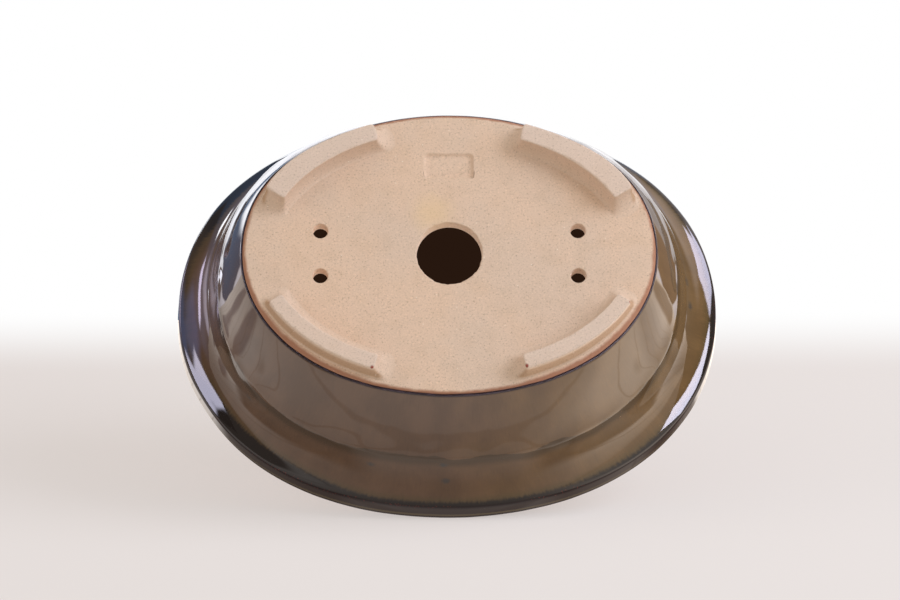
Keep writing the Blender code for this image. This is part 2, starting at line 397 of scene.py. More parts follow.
def square_ring(reach):
    """Row and column offsets of the points on a square ring, in order, starting at a corner."""
    side = np.arange(-reach, reach)
    ends = np.full_like(side, reach)
    rows = np.concatenate([-ends, side, ends, -side])
    columns = np.concatenate([side, ends, -side, -ends])
    return rows, columns


def rounded_rectangle(across, up, half_x, half_y, radius):
    """Maps -1..1 coordinates to a rectangle whose corners are round."""
    x, y = across * half_x, up * half_y
    over_x = np.maximum(np.abs(x) - (half_x - radius), 0)
    over_y = np.maximum(np.abs(y) - (half_y - radius), 0)
    both = np.minimum(over_x, over_y) > 0
    size = np.maximum(np.hypot(over_x, over_y), 1e-12)
    larger = np.maximum(over_x, over_y)
    round_x = np.sign(x) * (half_x - radius + over_x * larger / size)
    round_y = np.sign(y) * (half_y - radius + over_y * larger / size)
    return np.where(both, round_x, x), np.where(both, round_y, y)


# %% Press and punch the slab
WIRE_BLOCK, PRESS_BLOCK = 6, 12  # how many cells each block reaches out from its middle
# each ring's margin outside the oblong and its share of the depth, for the rings that carry its rim
PRESS_RIMS = {9: (0.55 * MM, 0.0), 8: (0.2 * MM, 0.12), 7: (-0.25 * MM, 0.7), 6: (-0.75 * MM, 0.97)}
SQUARE_SHARES = (0.75, 0.5, 0.3, 0.12, 0.0)  # how much of the square is left in the rings round a wire hole
WIRE_TURNS = (0.45, 0.9, 1.25, 1.57)  # angles of the rings on its rounded rim
WIRE_LEVELS = (11.5 * MM, 13 * MM, 14.6 * MM)
WIRE_TOP_EASE = 0.4 * MM


def press_oblong(grid):
    """Moves a block of the underside onto the rounded oblong and its soft sides, ring by ring.

    The inner rings fill the bottom, the next carry the rim, and the outer ones go back to their own places.
    """
    middle_column = SLAB_COLUMNS // 4
    middle_row = int(np.abs(grid[: SLAB_ROWS + 1, middle_column, 1] - PRESS_MIDDLE[1]).argmin())
    bottom, rim = min(PRESS_RIMS), max(PRESS_RIMS)
    for reach in range(PRESS_BLOCK):
        rows, columns = square_ring(reach) if reach else (np.zeros(1, int), np.zeros(1, int))
        across, up = -columns / max(reach, 1), rows / max(reach, 1)
        margin, depth = PRESS_RIMS[min(max(reach, bottom), rim)]
        x, y = rounded_rectangle(across, up, *(PRESS_HALF + margin), PRESS_CORNER + margin)
        inner, outer = min(reach / bottom, 1.0), fade(reach, rim, PRESS_BLOCK)
        old = grid[middle_row + rows, middle_column + columns]
        x, y = (mix(v * inner + PRESS_MIDDLE[axis], old[:, axis], outer) for axis, v in enumerate((x, y)))
        level = underside_level(x, y) + PRESS_DEPTH * depth
        grid[middle_row + rows, middle_column + columns] = np.stack([x, y, level], axis=-1)


def punch_hole(grid, ids, first_upper, place, next_id):
    """New points and faces of one wire hole, and the middles of the two blocks that it takes out.

    Seen from the hole's axis every point keeps its angle. Only its distance goes from the square's to the
    hole's radius, down through the slab and out to the square on top.
    """
    under = grid[: SLAB_ROWS + 1]
    apart = np.hypot(under[..., 0] - place[0], under[..., 1] - place[1])
    row, column = np.unravel_index(int(apart.argmin()), apart.shape)
    upper_row = first_upper + SLAB_ROWS - row
    rows, columns = square_ring(WIRE_BLOCK)
    columns = (column + columns) % SLAB_COLUMNS
    start, top = grid[row + rows, columns], grid[upper_row - rows, columns]
    angle = np.arctan2(start[:, 1] - place[1], start[:, 0] - place[0])

    def ring(radius, level, outer=start, share=0.0):
        x, y = place[0] + radius * np.cos(angle), place[1] + radius * np.sin(angle)
        x, y = mix(x, outer[:, 0], share), mix(y, outer[:, 1], share)
        z = underside_level(x, y) if level is None else np.full_like(x, level)
        return np.stack([x, y, z], axis=-1)

    rings = [ring(WIRE_RADIUS + WIRE_EASE, None, start, share) for share in SQUARE_SHARES]
    for turn in WIRE_TURNS:
        level = SLAB_BOTTOM + 0.05 * MM + WIRE_EASE * (1 - math.cos(turn))
        rings.append(ring(WIRE_RADIUS + WIRE_EASE * (1 - math.sin(turn)), level))
    rings += [ring(WIRE_RADIUS, level) for level in WIRE_LEVELS]
    rings += [ring(WIRE_RADIUS + WIRE_TOP_EASE, SLAB_TOP, top, share) for share in (0.0, 0.5)]
    new_ids = next_id + np.arange(len(rings) * len(angle)).reshape(len(rings), -1)
    joined = np.concatenate([ids[row + rows, columns][None], new_ids, ids[upper_row - rows, columns][None]])
    return np.concatenate(rings), quad_grid(joined), [(row, column), (upper_row, column)]


# %% Make the clay base


def make_clay_base():
    """The slab as one closed mesh: the grid without the punched blocks, and the holes in their place."""
    grid, first_upper = slab_grid()
    press_oblong(grid)
    ids = numbers_of(grid)
    keep = np.ones(ids.shape, bool)
    points, hole_faces = [grid.reshape(-1, 3)], []
    next_id = ids.size
    block = np.arange(-WIRE_BLOCK, WIRE_BLOCK)
    for place in WIRE_PLACES:
        new_points, new_faces, middles = punch_hole(grid, ids, first_upper, place, next_id)
        points.append(new_points)
        hole_faces.append(new_faces)
        next_id += len(new_points)
        for row, column in middles:
            keep[np.ix_(row + block, (column + block) % SLAB_COLUMNS)] = False
    points = np.concatenate(points)
    faces = quad_grid(np.concatenate([ids, ids[:1]])).reshape(*ids.shape, 4)[keep]
    underside = points[faces][..., 2].mean(axis=1) < SLAB_BOTTOM + 0.3 * MM
    quads = [turned_to(points, faces, underside[:, None] * np.array([0, 0, -1.0]))]
    for place, faces in zip(WIRE_PLACES, hole_faces):
        inward = np.array([*place, 0]) - points[faces].mean(axis=1)
        quads.append(turned_to(points, faces, inward * IN_PLAN))
    base = add_piece("clay_base", *used_only(points, np.concatenate(quads)))
    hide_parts("floor_slab")
    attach(base, "root")
    return base


clay_base = make_clay_base()

# %% [markdown]
# ## The feet
#
# Each foot is an arc of clay left standing along the base edge. Its sole is flat and worn, and it spreads
# to the slab in a hollow quarter round: steep at the sole, level with the slab at its root. The rings of
# the grid are rounded rectangles bent along the edge, so each one is wider and rounder than the last. The
# two back feet follow the fuller edge there.

# %% Sizes of a foot
FOOT_START, FOOT_END = math.radians(25.5), math.radians(68.0)
FOOT_INSET, FOOT_ROOT_INSET = 3.0 * MM, 1.9 * MM
SOLE_WIDTH = 6.1 * MM
INNER_FLARE, END_RAMP = 5.2 * MM, 8.0 * MM  # how far it spreads inwards and at its ends
SOLE_CORNER, ROOT_CORNER = 1.3 * MM, 4.5 * MM
SOLE_EASE = 0.7 * MM
BACK_GROWTH = 0.8 * MM  # how much further in a back foot reaches
BACK_FLARE = 0.55  # the share of the inner flare that a back foot has
FOOT_ROWS, FOOT_COLUMNS = 96, 20
EASE_STEPS, HOLLOW_STEPS = 6, 18
WEAR, CHIPS, UNEVEN = (0.05 * MM, 9 * MM), (0.2 * MM, 5 * MM), (0.14 * MM, 12 * MM)  # depth and wave length
FOOT_GAP = 0.03 * MM  # between the root's rim and the slab's underside
CAP_DEPTH = 0.5 * MM  # how far the hidden top of a foot lies inside the slab

edge_turns = np.linspace(0, math.pi / 2, 2001)
edge_steps = np.hypot(BASE_HALF[0] * np.sin(edge_turns), BASE_HALF[1] * np.cos(edge_turns))
edge_lengths = np.concatenate([[0], np.cumsum((edge_steps[1:] + edge_steps[:-1]) / 2) * edge_turns[1]])
foot_ends = np.interp([FOOT_START, FOOT_END], edge_turns, edge_lengths)
FOOT_MIDDLE, FOOT_HALF = (foot_ends[1] + foot_ends[0]) / 2, (foot_ends[1] - foot_ends[0]) / 2
print("a foot is", round(2 * float(FOOT_HALF) / MM, 1), "mm long at its sole")


def along_edge(length, inset):
    """The point a length along the base edge from its tip, moved inwards square to the edge."""
    turn = np.interp(length, edge_lengths, edge_turns)
    normal_x, normal_y = BASE_HALF[1] * np.cos(turn), BASE_HALF[0] * np.sin(turn)
    size = np.hypot(normal_x, normal_y)
    x = BASE_HALF[0] * np.cos(turn) - inset * normal_x / size
    y = BASE_HALF[1] * np.sin(turn) - inset * normal_y / size
    return x, y


def foot_ring(across, along, spread, shrink, is_back):
    """x and y of a foot's outline at one spread, from -1..1 coordinates on a square.

    A back foot's outer side moves out with the swollen base, and its inner side a little further in.
    """
    outer = mix(FOOT_INSET, FOOT_ROOT_INSET, spread)
    inner = FOOT_INSET + SOLE_WIDTH + INNER_FLARE * spread * (BACK_FLARE if is_back else 1)
    half_width = (inner - outer) / 2 - shrink
    half_length = FOOT_HALF + END_RAMP * spread - shrink
    radius = mix(SOLE_CORNER, ROOT_CORNER, spread)
    length, inset = rounded_rectangle(along, across, half_length, half_width, radius)
    length, inset = FOOT_MIDDLE + length, (outer + inner) / 2 + inset
    if is_back:
        x, y = along_edge(length, 0 * MM)
        inset += mix(-base_swell(y / np.hypot(x, y)), BACK_GROWTH, (1 + across) / 2)
    return along_edge(length, inset)


# %% Points round a foot
foot_steps = np.linspace(-1, 1, FOOT_ROWS + 1)
foot_along = mix(foot_steps, np.sin(foot_steps * math.pi / 2), 0.5)  # closer together at the ends
foot_across = np.linspace(-1, 1, FOOT_COLUMNS + 1)
grid_along, grid_across = np.meshgrid(foot_along, foot_across, indexing="ij")
rows_up, columns_up = np.arange(FOOT_ROWS), np.arange(FOOT_COLUMNS)
rim_rows = np.concatenate([rows_up, 0 * columns_up + FOOT_ROWS, FOOT_ROWS - rows_up, 0 * columns_up])
rim_columns = np.concatenate([0 * rows_up, columns_up, 0 * rows_up + FOOT_COLUMNS, FOOT_COLUMNS - columns_up])
rim_along, rim_across = foot_along[rim_rows], foot_across[rim_columns]

# %% Make the feet


def make_foot(name, side_x, side_y, seed):
    """One foot: a grid for the sole, rings down to the root, and a hidden grid that closes it.

    The first rings go round the sole's edge on a quarter circle. The next go to the slab on another, where
    the spread is 1 - cos of the angle and the height is its sine.
    """
    is_back = side_y > 0

    def place(x, y, level):
        return np.stack([side_x * x, side_y * y, level + 0 * x], axis=-1)

    x, y = foot_ring(grid_across, grid_along, 0.0, SOLE_EASE, is_back)
    sole = place(x, y, np.clip(drift(place(x, y, 0.0), WEAR[1], seed), 0, 1) * WEAR[0])
    rings = []
    for angle in np.linspace(0, math.pi / 2, EASE_STEPS + 1)[1:]:
        x, y = foot_ring(rim_across, rim_along, 0.0, SOLE_EASE * (1 - math.sin(angle)), is_back)
        chip = np.clip(drift(place(x, y, 0.0), CHIPS[1], seed + 1), 0, 1) * CHIPS[0]
        rings.append(place(x, y, SOLE_EASE * (1 - math.cos(angle)) + chip * math.cos(angle / 2)))
    for angle in np.linspace(0, math.pi / 2, HOLLOW_STEPS + 1)[1:]:
        x, y = foot_ring(rim_across, rim_along, 1 - math.cos(angle), 0.0, is_back)
        root = underside_level(side_x * x, side_y * y) + FOOT_GAP
        level = mix(SOLE_EASE, root, math.sin(angle))
        uneven = UNEVEN[0] * drift(place(x, y, level), UNEVEN[1], seed + 2) * math.sin(2 * angle)
        rings.append(place(x, y, level + uneven))
    x, y = foot_ring(grid_across, grid_along, 1.0, 0.0, is_back)
    cap = place(x, y, SLAB_BOTTOM + CAP_DEPTH)

    sole_ids = numbers_of(sole)
    ring_ids = sole_ids.size + np.arange(len(rings) * len(rim_rows)).reshape(len(rings), -1)
    cap_ids = ring_ids.max() + 1 + sole_ids
    points = np.concatenate([sole.reshape(-1, 3), np.concatenate(rings), cap.reshape(-1, 3)])
    corners = [sole_ids[:-1, :-1], sole_ids[1:, :-1], sole_ids[1:, 1:], sole_ids[:-1, 1:]]
    sole_quads = np.stack(corners, axis=-1).reshape(-1, 4)
    sole_quads = turned_to(points, sole_quads, np.array([[0, 0, -1.0]]).repeat(len(sole_quads), 0))
    cap_quads = sole_quads[:, ::-1] + cap_ids[0, 0]
    side_quads = quad_grid(np.concatenate(
        [sole_ids[rim_rows, rim_columns][None], ring_ids, cap_ids[rim_rows, rim_columns][None]]
    ))
    side_quads = turned_to(points, side_quads, points[side_quads].mean(axis=1) - points.mean(axis=0))
    piece = add_piece(name, points, np.concatenate([sole_quads, side_quads, cap_quads]))
    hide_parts(name.replace("worn_", ""))
    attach(piece, "root")
    return piece


FOOT_SIDES = {"front_left": (-1, -1), "front_right": (1, -1), "back_left": (-1, 1), "back_right": (1, 1)}
worn_feet = [
    make_foot(f"worn_foot_{place_name}", *sides, seed=20 + 7 * number)
    for number, (place_name, sides) in enumerate(FOOT_SIDES.items())
]

# %% [markdown]
# ## The wall and lip
#
# Under the glaze the wall, cove and lip are one clay ring. Its profile goes up the outside, over the lip
# and down the inside to a small fillet on the floor. The clay lies half a millimetre inside the outline,
# which is the room that the glaze takes. A hand-made pot isn't quite true, so the outline also gives way
# a little, always inwards, and most at the corner that is in front on the photograph's left.

# %% The outside's profile
BODY_COLUMNS = 480
LIP_OUTER, LIP_INNER, LIP_WIDTH = 2.2 * MM, 2.8 * MM, 8.5 * MM
WALL_THICKNESS = 7.0 * MM
GIVE, CORNER_GIVE = 0.16 * MM, 0.55 * MM  # how far the outline gives way all round, and at the low corner
CORNER_TURN, CORNER_SPREAD = math.radians(331), math.radians(13)
TIP_POWER = 40  # the higher, the closer to the oval's four tips the give fades out
CREASE_SWAY, SWAY_SPREAD = 0.75 * MM, 5 * MM
WALL_ROWS, CREASE_ROWS, COVE_ROWS, CORNER_ROWS, BAND_ROWS = 36, 3, 36, 6, 12
CREASE_EASE = 0.8 * MM  # how far above and below the crease its rounding starts
CORNER_BELOW, CORNER_ABOVE, CORNER_LIFT = 0.4 * MM, 1.2 * MM, 0.25 * MM  # the same for the lip's corner
body_turn = np.arange(BODY_COLUMNS) * ROUND / BODY_COLUMNS


def hand_made(level, turn):
    """How far the outline gives way: more with the height, and not at all at the oval's four tips."""
    height = np.clip((level - SLAB_TOP) / (TOP_LEVEL - SLAB_TOP), 0, 1)
    uneven = GIVE * (1 + wobble(turn, (2, 3, 5, 7), seed=11) / WOBBLE_PEAK)
    low_corner = CORNER_GIVE * np.exp(-(((turn - CORNER_TURN) / CORNER_SPREAD) ** 2))
    tips = np.abs(np.cos(turn)) ** TIP_POWER + np.abs(np.sin(turn)) ** TIP_POWER
    return height * (uneven + low_corner) * (1 - np.clip(tips, 0, 1))


def crease_sway(level, turn):
    """How far the crease runs up and down round the pot, fading out a few millimetres away from it."""
    sway = CREASE_SWAY * wobble(turn, (4, 7, 11, 17, 26), seed=61)
    return sway * np.exp(-(((level - WAIST_LEVEL) / SWAY_SPREAD) ** 2))


def skin_row(level, inset, turn=body_turn):
    """One row of the pot's skin: the outline at a level, less the inset and the hand-made give."""
    level = level + 0 * turn
    row = oval_rows(level - crease_sway(level, turn), inset + hand_made(level, turn), turn)
    row[..., 2] = level
    return row


def glaze_start(turn):
    """The level where the glaze begins: close to the base edge.

    It lies higher at the two tips, by a cosine squared, at the two front corners and at the back's middle.
    """
    along, across = np.cos(turn), np.sin(turn)
    lift = 0.65 - 0.15 * across + 0.65 * along**2 * (1 - 0.6 * across)
    lift += np.where(across < 0, 2.8 * (along * across) ** 2, 2.2 * across**12)
    return SLAB_BOTTOM + (lift + 0.08 * wobble(turn, (9, 14, 23, 37), seed=62)) * MM


def eased(rows_from, corner, rows_to, steps):
    """Rows on a curve that leaves one row, heads for a corner row and ends at another (Bézier)."""
    shares = np.linspace(0, 1, steps + 2)[1:-1]
    return [(1 - t) ** 2 * rows_from + 2 * t * (1 - t) * corner + t**2 * rows_to for t in shares]


def rows_between(low, high, count, inset):
    """Rows of the skin at even steps between two levels."""
    return [skin_row(level, inset) for level in np.linspace(low, high, count)]


def outside_rows(inset):
    """Rows up the wall, out along the cove, round the lip's lower corner and up the band."""
    wall = rows_between(glaze_start(body_turn), WAIST_LEVEL - CREASE_EASE, WALL_ROWS, inset)
    cove = rows_between(WAIST_LEVEL + CREASE_EASE, CORNER_LEVEL - CORNER_BELOW, COVE_ROWS, inset)
    band = rows_between(CORNER_LEVEL + CORNER_ABOVE, TOP_LEVEL - LIP_OUTER, BAND_ROWS, inset)
    crease = eased(wall[-1], skin_row(WAIST_LEVEL, inset), cove[0], CREASE_ROWS)
    corner = eased(cove[-1], skin_row(CORNER_LEVEL + CORNER_LIFT, inset), band[0], CORNER_ROWS)
    return wall + crease + cove + corner + band


def top_rows(inset):
    """Rows over the lip: the outer quarter round, the flat and the inner quarter round."""
    rows = []
    for angle in np.linspace(0, math.pi / 2, 7)[1:]:
        rise = (LIP_OUTER - inset) * math.sin(angle)
        rows.append(skin_row(TOP_LEVEL - LIP_OUTER + rise, LIP_OUTER - (LIP_OUTER - inset) * math.cos(angle)))
    for share in (0.35, 0.7):
        rows.append(skin_row(TOP_LEVEL - inset, mix(LIP_OUTER, LIP_WIDTH - LIP_INNER, share)))
    for angle in np.linspace(0, math.pi / 2, 8):
        rise = (LIP_INNER - inset) * math.cos(angle)
        inwards = LIP_WIDTH - LIP_INNER + (LIP_INNER - inset) * math.sin(angle)
        rows.append(skin_row(TOP_LEVEL - LIP_INNER + rise, inwards))
    return rows


def inside_row(level, inset):
    """A row of the inside: the skin, less a thickness that grows from the wall's to the lip's."""
    upper = np.clip((level - CORNER_LEVEL) / (TOP_LEVEL - LIP_INNER - CORNER_LEVEL), 0, 1)
    return skin_row(level, mix(WALL_THICKNESS, LIP_WIDTH, upper) - inset)


# %% Make the clay body
FILLET = 4.0 * MM
ROOT_SINK = 0.15 * MM  # how far the ring's lowest rows sink into the slab
FILLET_SINK = 0.05 * MM  # and the fillet's
INSIDE_ROWS = 44
TRIM_DEPTH, TRIM_SPACING = 0.07 * MM, 1.9 * MM  # fine rings that a sponge leaves inside
INSIDE_UNEVEN = (0.05 * MM, 14 * MM)  # depth and wave length


def make_clay_body():
    """The clay ring: a closed profile of rows up the outside, over the lip and down the inside."""
    deep = GLAZE_THICKNESS
    rows = [skin_row(SLAB_TOP - ROOT_SINK, deep)]
    rows += [row for row in outside_rows(deep) if row[:, 2].min() > SLAB_TOP + 0.1 * MM]
    rows += top_rows(deep)
    for level in np.linspace(TOP_LEVEL - LIP_INNER - 1.5 * MM, SLAB_TOP + FILLET, INSIDE_ROWS):
        ring = inside_row(level, deep)
        trim = TRIM_DEPTH * math.sin(level / TRIM_SPACING)
        trim = trim + INSIDE_UNEVEN[0] * drift(ring, INSIDE_UNEVEN[1], seed=31)
        ring[:, :2] *= (1 + trim / np.hypot(ring[:, 0], ring[:, 1]))[:, None]
        rows.append(ring)
    for angle in np.linspace(0, math.pi / 2, 7)[1:]:
        level = SLAB_TOP + FILLET * (1 - math.sin(angle)) - FILLET_SINK
        rows.append(inside_row(level, deep - FILLET * (1 - math.cos(angle))))
    rows.append(skin_row(SLAB_TOP - ROOT_SINK, WALL_THICKNESS + FILLET))
    body = add_piece("clay_body", *closed_shell(np.stack(rows)))
    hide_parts("wall", "lip")
    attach(body, "root")
    return body


clay_body = make_clay_body()

# %% [markdown]
# ## The glaze coat
#
# The glaze is its own thin shell, about half a millimetre thick. It starts in a soft bead at the base
# edge, covers the slab's side, wall, cove and lip, and ends in a ragged line inside the mouth. A coat that
# melted isn't even: it sags in slow waves, gathers in the hollow above the crease and thins on the edges.
# The thickness is one function of the place. The coat also carries each point's length up the profile, and
# the material reads that to know where to break, and where to pool and paint the crease's shade.

# %% How thick the glaze lies
START_BEAD, END_BEAD = 0.9 * MM, 1.1 * MM  # how far the rounded ends of the coat reach
POOL_RISE, POOL_SPREAD = 1.5 * MM, 4 * MM  # where above the crease the glaze gathers, and how broadly
LEVEL_DEPTH, WAVE_DEPTH, RIPPLE_DEPTH, LUMP_DEPTH = 0.66, 0.20, 0.08, 0.22  # shares of the full thickness
WAVE_LENGTH, RIPPLE_LENGTH, LUMP_LENGTH = 26 * MM, 9 * MM, 17 * MM
SAG, LUMP_SAG = np.array([1, 1, 0.45]), np.array([1, 1, 0.6])  # the flatter z, the longer they run down


def profile_length(grid):
    """Mean length along the profile from the first row to each row."""
    steps = np.linalg.norm(np.diff(grid, axis=0), axis=-1).mean(axis=1)
    return np.concatenate([[0], np.cumsum(steps)])


def glaze_depth(grid, length, last_length):
    """The coat's share of its full thickness: a quarter round at both ends, slow waves and a pool."""
    start = np.clip(length / START_BEAD, 0, 1)
    end = np.clip((last_length - length) / END_BEAD, 0, 1)
    bead = np.sqrt(1 - (1 - start) ** 2) * np.sqrt(1 - (1 - end) ** 2)
    by_crease = np.exp(-(((grid[..., 2] - WAIST_LEVEL - POOL_RISE) / POOL_SPREAD) ** 2))
    lumps = LUMP_DEPTH * by_crease * drift(grid * LUMP_SAG, LUMP_LENGTH, seed=43) / DRIFT_PEAK
    wave = np.clip(0.5 + 0.5 * drift(grid * SAG, WAVE_LENGTH, seed=41) / DRIFT_PEAK, 0, 1)
    ripple = np.clip(0.5 + 0.5 * drift(grid * SAG, RIPPLE_LENGTH, seed=42) / DRIFT_PEAK, 0, 1)
    return bead * np.clip(LEVEL_DEPTH + WAVE_DEPTH * wave + RIPPLE_DEPTH * ripple + lumps, 0.2, 1)


# %% Make the glaze coat
GLAZE_END, END_RAGGED = 73.5 * MM, 2.2 * MM  # the level where the glaze ends inside, and how far that wanders
FLOW_RADIUS = 85 * MM  # of the round pot on which the flow's pattern is laid out
HIDDEN_DEPTH = 0.04 * MM  # how far inside the clay's face the coat's hidden face lies
HIDDEN_EVERY = 3  # it has only every third row
MOUTH_ROWS = 16


def make_glaze_coat():
    """The coat's outer face, then its inner face a hair inside the clay, as one closed grid.

    Each point carries its length up the profile, and a place for patterns that flow with the glaze: its turn
    on a plain round pot, at that length as the height.
    """
    deep = GLAZE_THICKNESS
    rows = outside_rows(deep) + top_rows(deep)
    end_level = GLAZE_END + END_RAGGED * wobble(body_turn, (3, 5, 8, 13, 21), seed=51)
    for share in np.linspace(0, 1, MOUTH_ROWS + 1)[1:]:
        rows.append(inside_row(mix(TOP_LEVEL - LIP_INNER, end_level, share), deep))
    skin = np.stack(rows)
    length, normal = profile_length(skin), grid_normals(skin)
    on_the_wall = WALL_ROWS // 2
    outside_way = np.einsum("ij,ij->", normal[on_the_wall], skin[on_the_wall] * IN_PLAN)
    normal *= 1 if outside_way > 0 else -1
    depth = glaze_depth(skin, length[:, None], length[-1])
    outer = skin + normal * (depth * deep)[..., None]
    inner = (skin - normal * HIDDEN_DEPTH)[::-1][::HIDDEN_EVERY]
    up_profile = np.concatenate([length, length[::-1][::HIDDEN_EVERY]])[:, None] + 0 * body_turn
    flow = np.stack([
        FLOW_RADIUS * np.cos(body_turn) + 0 * up_profile,
        FLOW_RADIUS * np.sin(body_turn) + 0 * up_profile,
        up_profile,
    ], axis=-1)
    values = {"up_profile": up_profile.ravel(), "flow": flow.reshape(-1, 3)}
    coat = add_piece("glaze_coat", *closed_shell(np.concatenate([outer, inner])), values)
    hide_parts("wall", "lip")
    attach(coat, "root")
    rising = slice(0, WALL_ROWS + COVE_ROWS + BAND_ROWS)  # rows whose heights only grow
    found = {
        name: float(np.interp(level, skin[rising, 0, 2], length[rising]))
        for name, level in (("crease", WAIST_LEVEL), ("corner", CORNER_LEVEL + 0.4 * MM))
    }
    print("lengths up the profile", {name: round(v / MM, 1) for name, v in found.items()}, "mm")
    return coat, found


glaze_coat, profile_at = make_glaze_coat()

# %% [markdown]
# ## Node tools
#
# Materials are built from nodes. These helpers add a node, set its inputs by value or by link, and give
# back the output that is wanted, so that a material reads like a recipe.

# %% Node tools


def as_colour(value):
    """A socket as it is, or three numbers with an opaque alpha."""
    return value if isinstance(value, bpy.types.NodeSocket) else (*value, 1.0)


def fill_inputs(tree, made, values):
    """Gives each named input of a node a link if it is given a socket, and else a plain value."""
    for key, value in values.items():
        if isinstance(value, bpy.types.NodeSocket):
            tree.links.new(value, made.inputs[key])
        else:
            made.inputs[key].default_value = value
    return made


def add_node(tree, kind, values=None, **settings):
    """Adds a node with its settings and its inputs."""
    made = tree.nodes.new(kind)
    for key, value in settings.items():
        setattr(made, key, value)
    return fill_inputs(tree, made, values or {})


def maths(tree, operation, *values):
    """The result of one Math node."""
    return add_node(tree, "ShaderNodeMath", dict(enumerate(values)), operation=operation).outputs[0]


def plus(tree, first, second):
    """The sum of two values."""
    return maths(tree, "ADD", first, second)


def minus(tree, first, second):
    """The first value less the second."""
    return maths(tree, "SUBTRACT", first, second)


def times(tree, first, *others):
    """The product of two or more values."""
    for other in others:
        first = maths(tree, "MULTIPLY", first, other)
    return first


def squared(tree, value):
    """A value times itself."""
    return times(tree, value, value)


def vector_maths(tree, operation, first, second=(0, 0, 0), output="Value"):
    """The result of one Vector Math node."""
    values = {0: first, 1: tuple(second)}
    return add_node(tree, "ShaderNodeVectorMath", values, operation=operation).outputs[output]


def ramp_between(tree, value, low, high):
    """0 where the value is low, 1 where it is high, softly. Low may be the larger of the two."""
    values = {"Value": value, "From Min": low, "From Max": high}
    return add_node(tree, "ShaderNodeMapRange", values, interpolation_type="SMOOTHSTEP").outputs["Result"]


def length_ramp(tree, length, low, high):
    """A ramp between two lengths in millimetres."""
    return ramp_between(tree, length, low * MM, high * MM)


def length_window(tree, length, rise_from, rise_to, fall_from, fall_to):
    """1 inside a window of lengths in millimetres, with a soft rise and fall at its sides."""
    rise, fall = length_ramp(tree, length, rise_from, rise_to), length_ramp(tree, length, fall_to, fall_from)
    return times(tree, rise, fall)


def colour_mix(tree, share, first, second, blend="MIX"):
    """A blend of two colours by a share."""
    colours = {0: share, 6: as_colour(first), 7: as_colour(second)}
    return add_node(tree, "ShaderNodeMix", colours, data_type="RGBA", blend_type=blend).outputs[2]


def coated(tree, colour, mask, most, coat, blend="MIX"):
    """A colour with a coat over it where the mask is 1, which covers it by at most the given share."""
    return colour_mix(tree, times(tree, mask, most), colour, coat, blend)


def noise(tree, vector, size, detail=3.0, roughness=0.5, stretch=(1, 1, 1)):
    """Noise whose features are about the given size in metres, stretched along chosen axes."""
    placed = add_node(tree, "ShaderNodeMapping", {"Vector": vector, "Scale": tuple(1 / s for s in stretch)})
    values = {"Vector": placed.outputs[0], "Scale": 1 / size, "Detail": detail, "Roughness": roughness}
    return add_node(tree, "ShaderNodeTexNoise", values).outputs["Fac"]


def object_place(tree):
    """The point's own coordinates in metres."""
    return add_node(tree, "ShaderNodeTexCoord").outputs["Object"]


def place_parts(tree):
    """The point's x, y and z in metres."""
    return add_node(tree, "ShaderNodeSeparateXYZ", {"Vector": object_place(tree)}).outputs


def distance_to(tree, place):
    """How far the point is from a place."""
    return vector_maths(tree, "DISTANCE", object_place(tree), place)


def attribute(tree, name, output="Fac"):
    """A value that the mesh carries on its points."""
    return add_node(tree, "ShaderNodeAttribute", attribute_name=name).outputs[output]


def bump(tree, height, strength, distance):
    """A bump normal from a height."""
    values = {"Strength": strength, "Distance": distance, "Height": height}
    return add_node(tree, "ShaderNodeBump", values).outputs["Normal"]


def new_material(name):
    """A new material, its tree and its Principled shader."""
    material = bpy.data.materials.new(name)
    material.use_nodes = True
    return material, material.node_tree, material.node_tree.nodes["Principled BSDF"]


# %% [markdown]
# ## Fired clay
#
# The bare clay is buff stoneware: fine grains, a few of them darker, painted highlights in a few pale dots
# that stand for glints, and slow patches where the fire was hotter. The grain is one node group, because the
# slab, the inside and the worn soles share it. It reads the point's own coordinates, so it runs on from the
# slab to the feet with no seam.

# %% Clay grain group
HOT_PATCH, COOL_CLOUD = (1.06, 1.02, 0.98), (0.95, 0.94, 0.92)  # what they multiply the clay by
# The glint colour is a painted highlight: pale dots put into the clay's colour where grains would catch the
# light.
DARK_GRAIN, PALE_GRAIN, PAINTED_GLINT = (0.66, 0.62, 0.58), (1.17, 1.17, 1.17), (0.98, 0.93, 0.86)
GLINT_CELL, GLINT_REACH, GLINT_ABOVE = 2.6 * MM, 0.085, 0.82  # cell size, reach in it, and least random red
GROUP_INPUTS = (
    ("Place", "Vector", None), ("Clay", "Color", (0.69, 0.51, 0.38, 1)),
    ("Patches", "Float", 0.5), ("Grain", "Float", 0.5),
)


def add_socket(group, name, way, kind, value=None):
    """One named input or output of a node group."""
    socket = group.interface.new_socket(name, in_out=way, socket_type=f"NodeSocket{kind}")
    if value is not None:
        socket.default_value = value


def painted_glints(tree, place):
    """1 in small dots at the middles of a few cells, picked by the cells' random colours: the places of the
    painted glints.
    """
    cells = add_node(tree, "ShaderNodeTexVoronoi", {"Vector": place, "Scale": 1 / GLINT_CELL}).outputs
    red = add_node(tree, "ShaderNodeSeparateColor", {"Color": cells["Color"]}).outputs[0]
    inside = maths(tree, "LESS_THAN", cells["Distance"], GLINT_REACH)
    return times(tree, inside, maths(tree, "GREATER_THAN", red, GLINT_ABOVE))


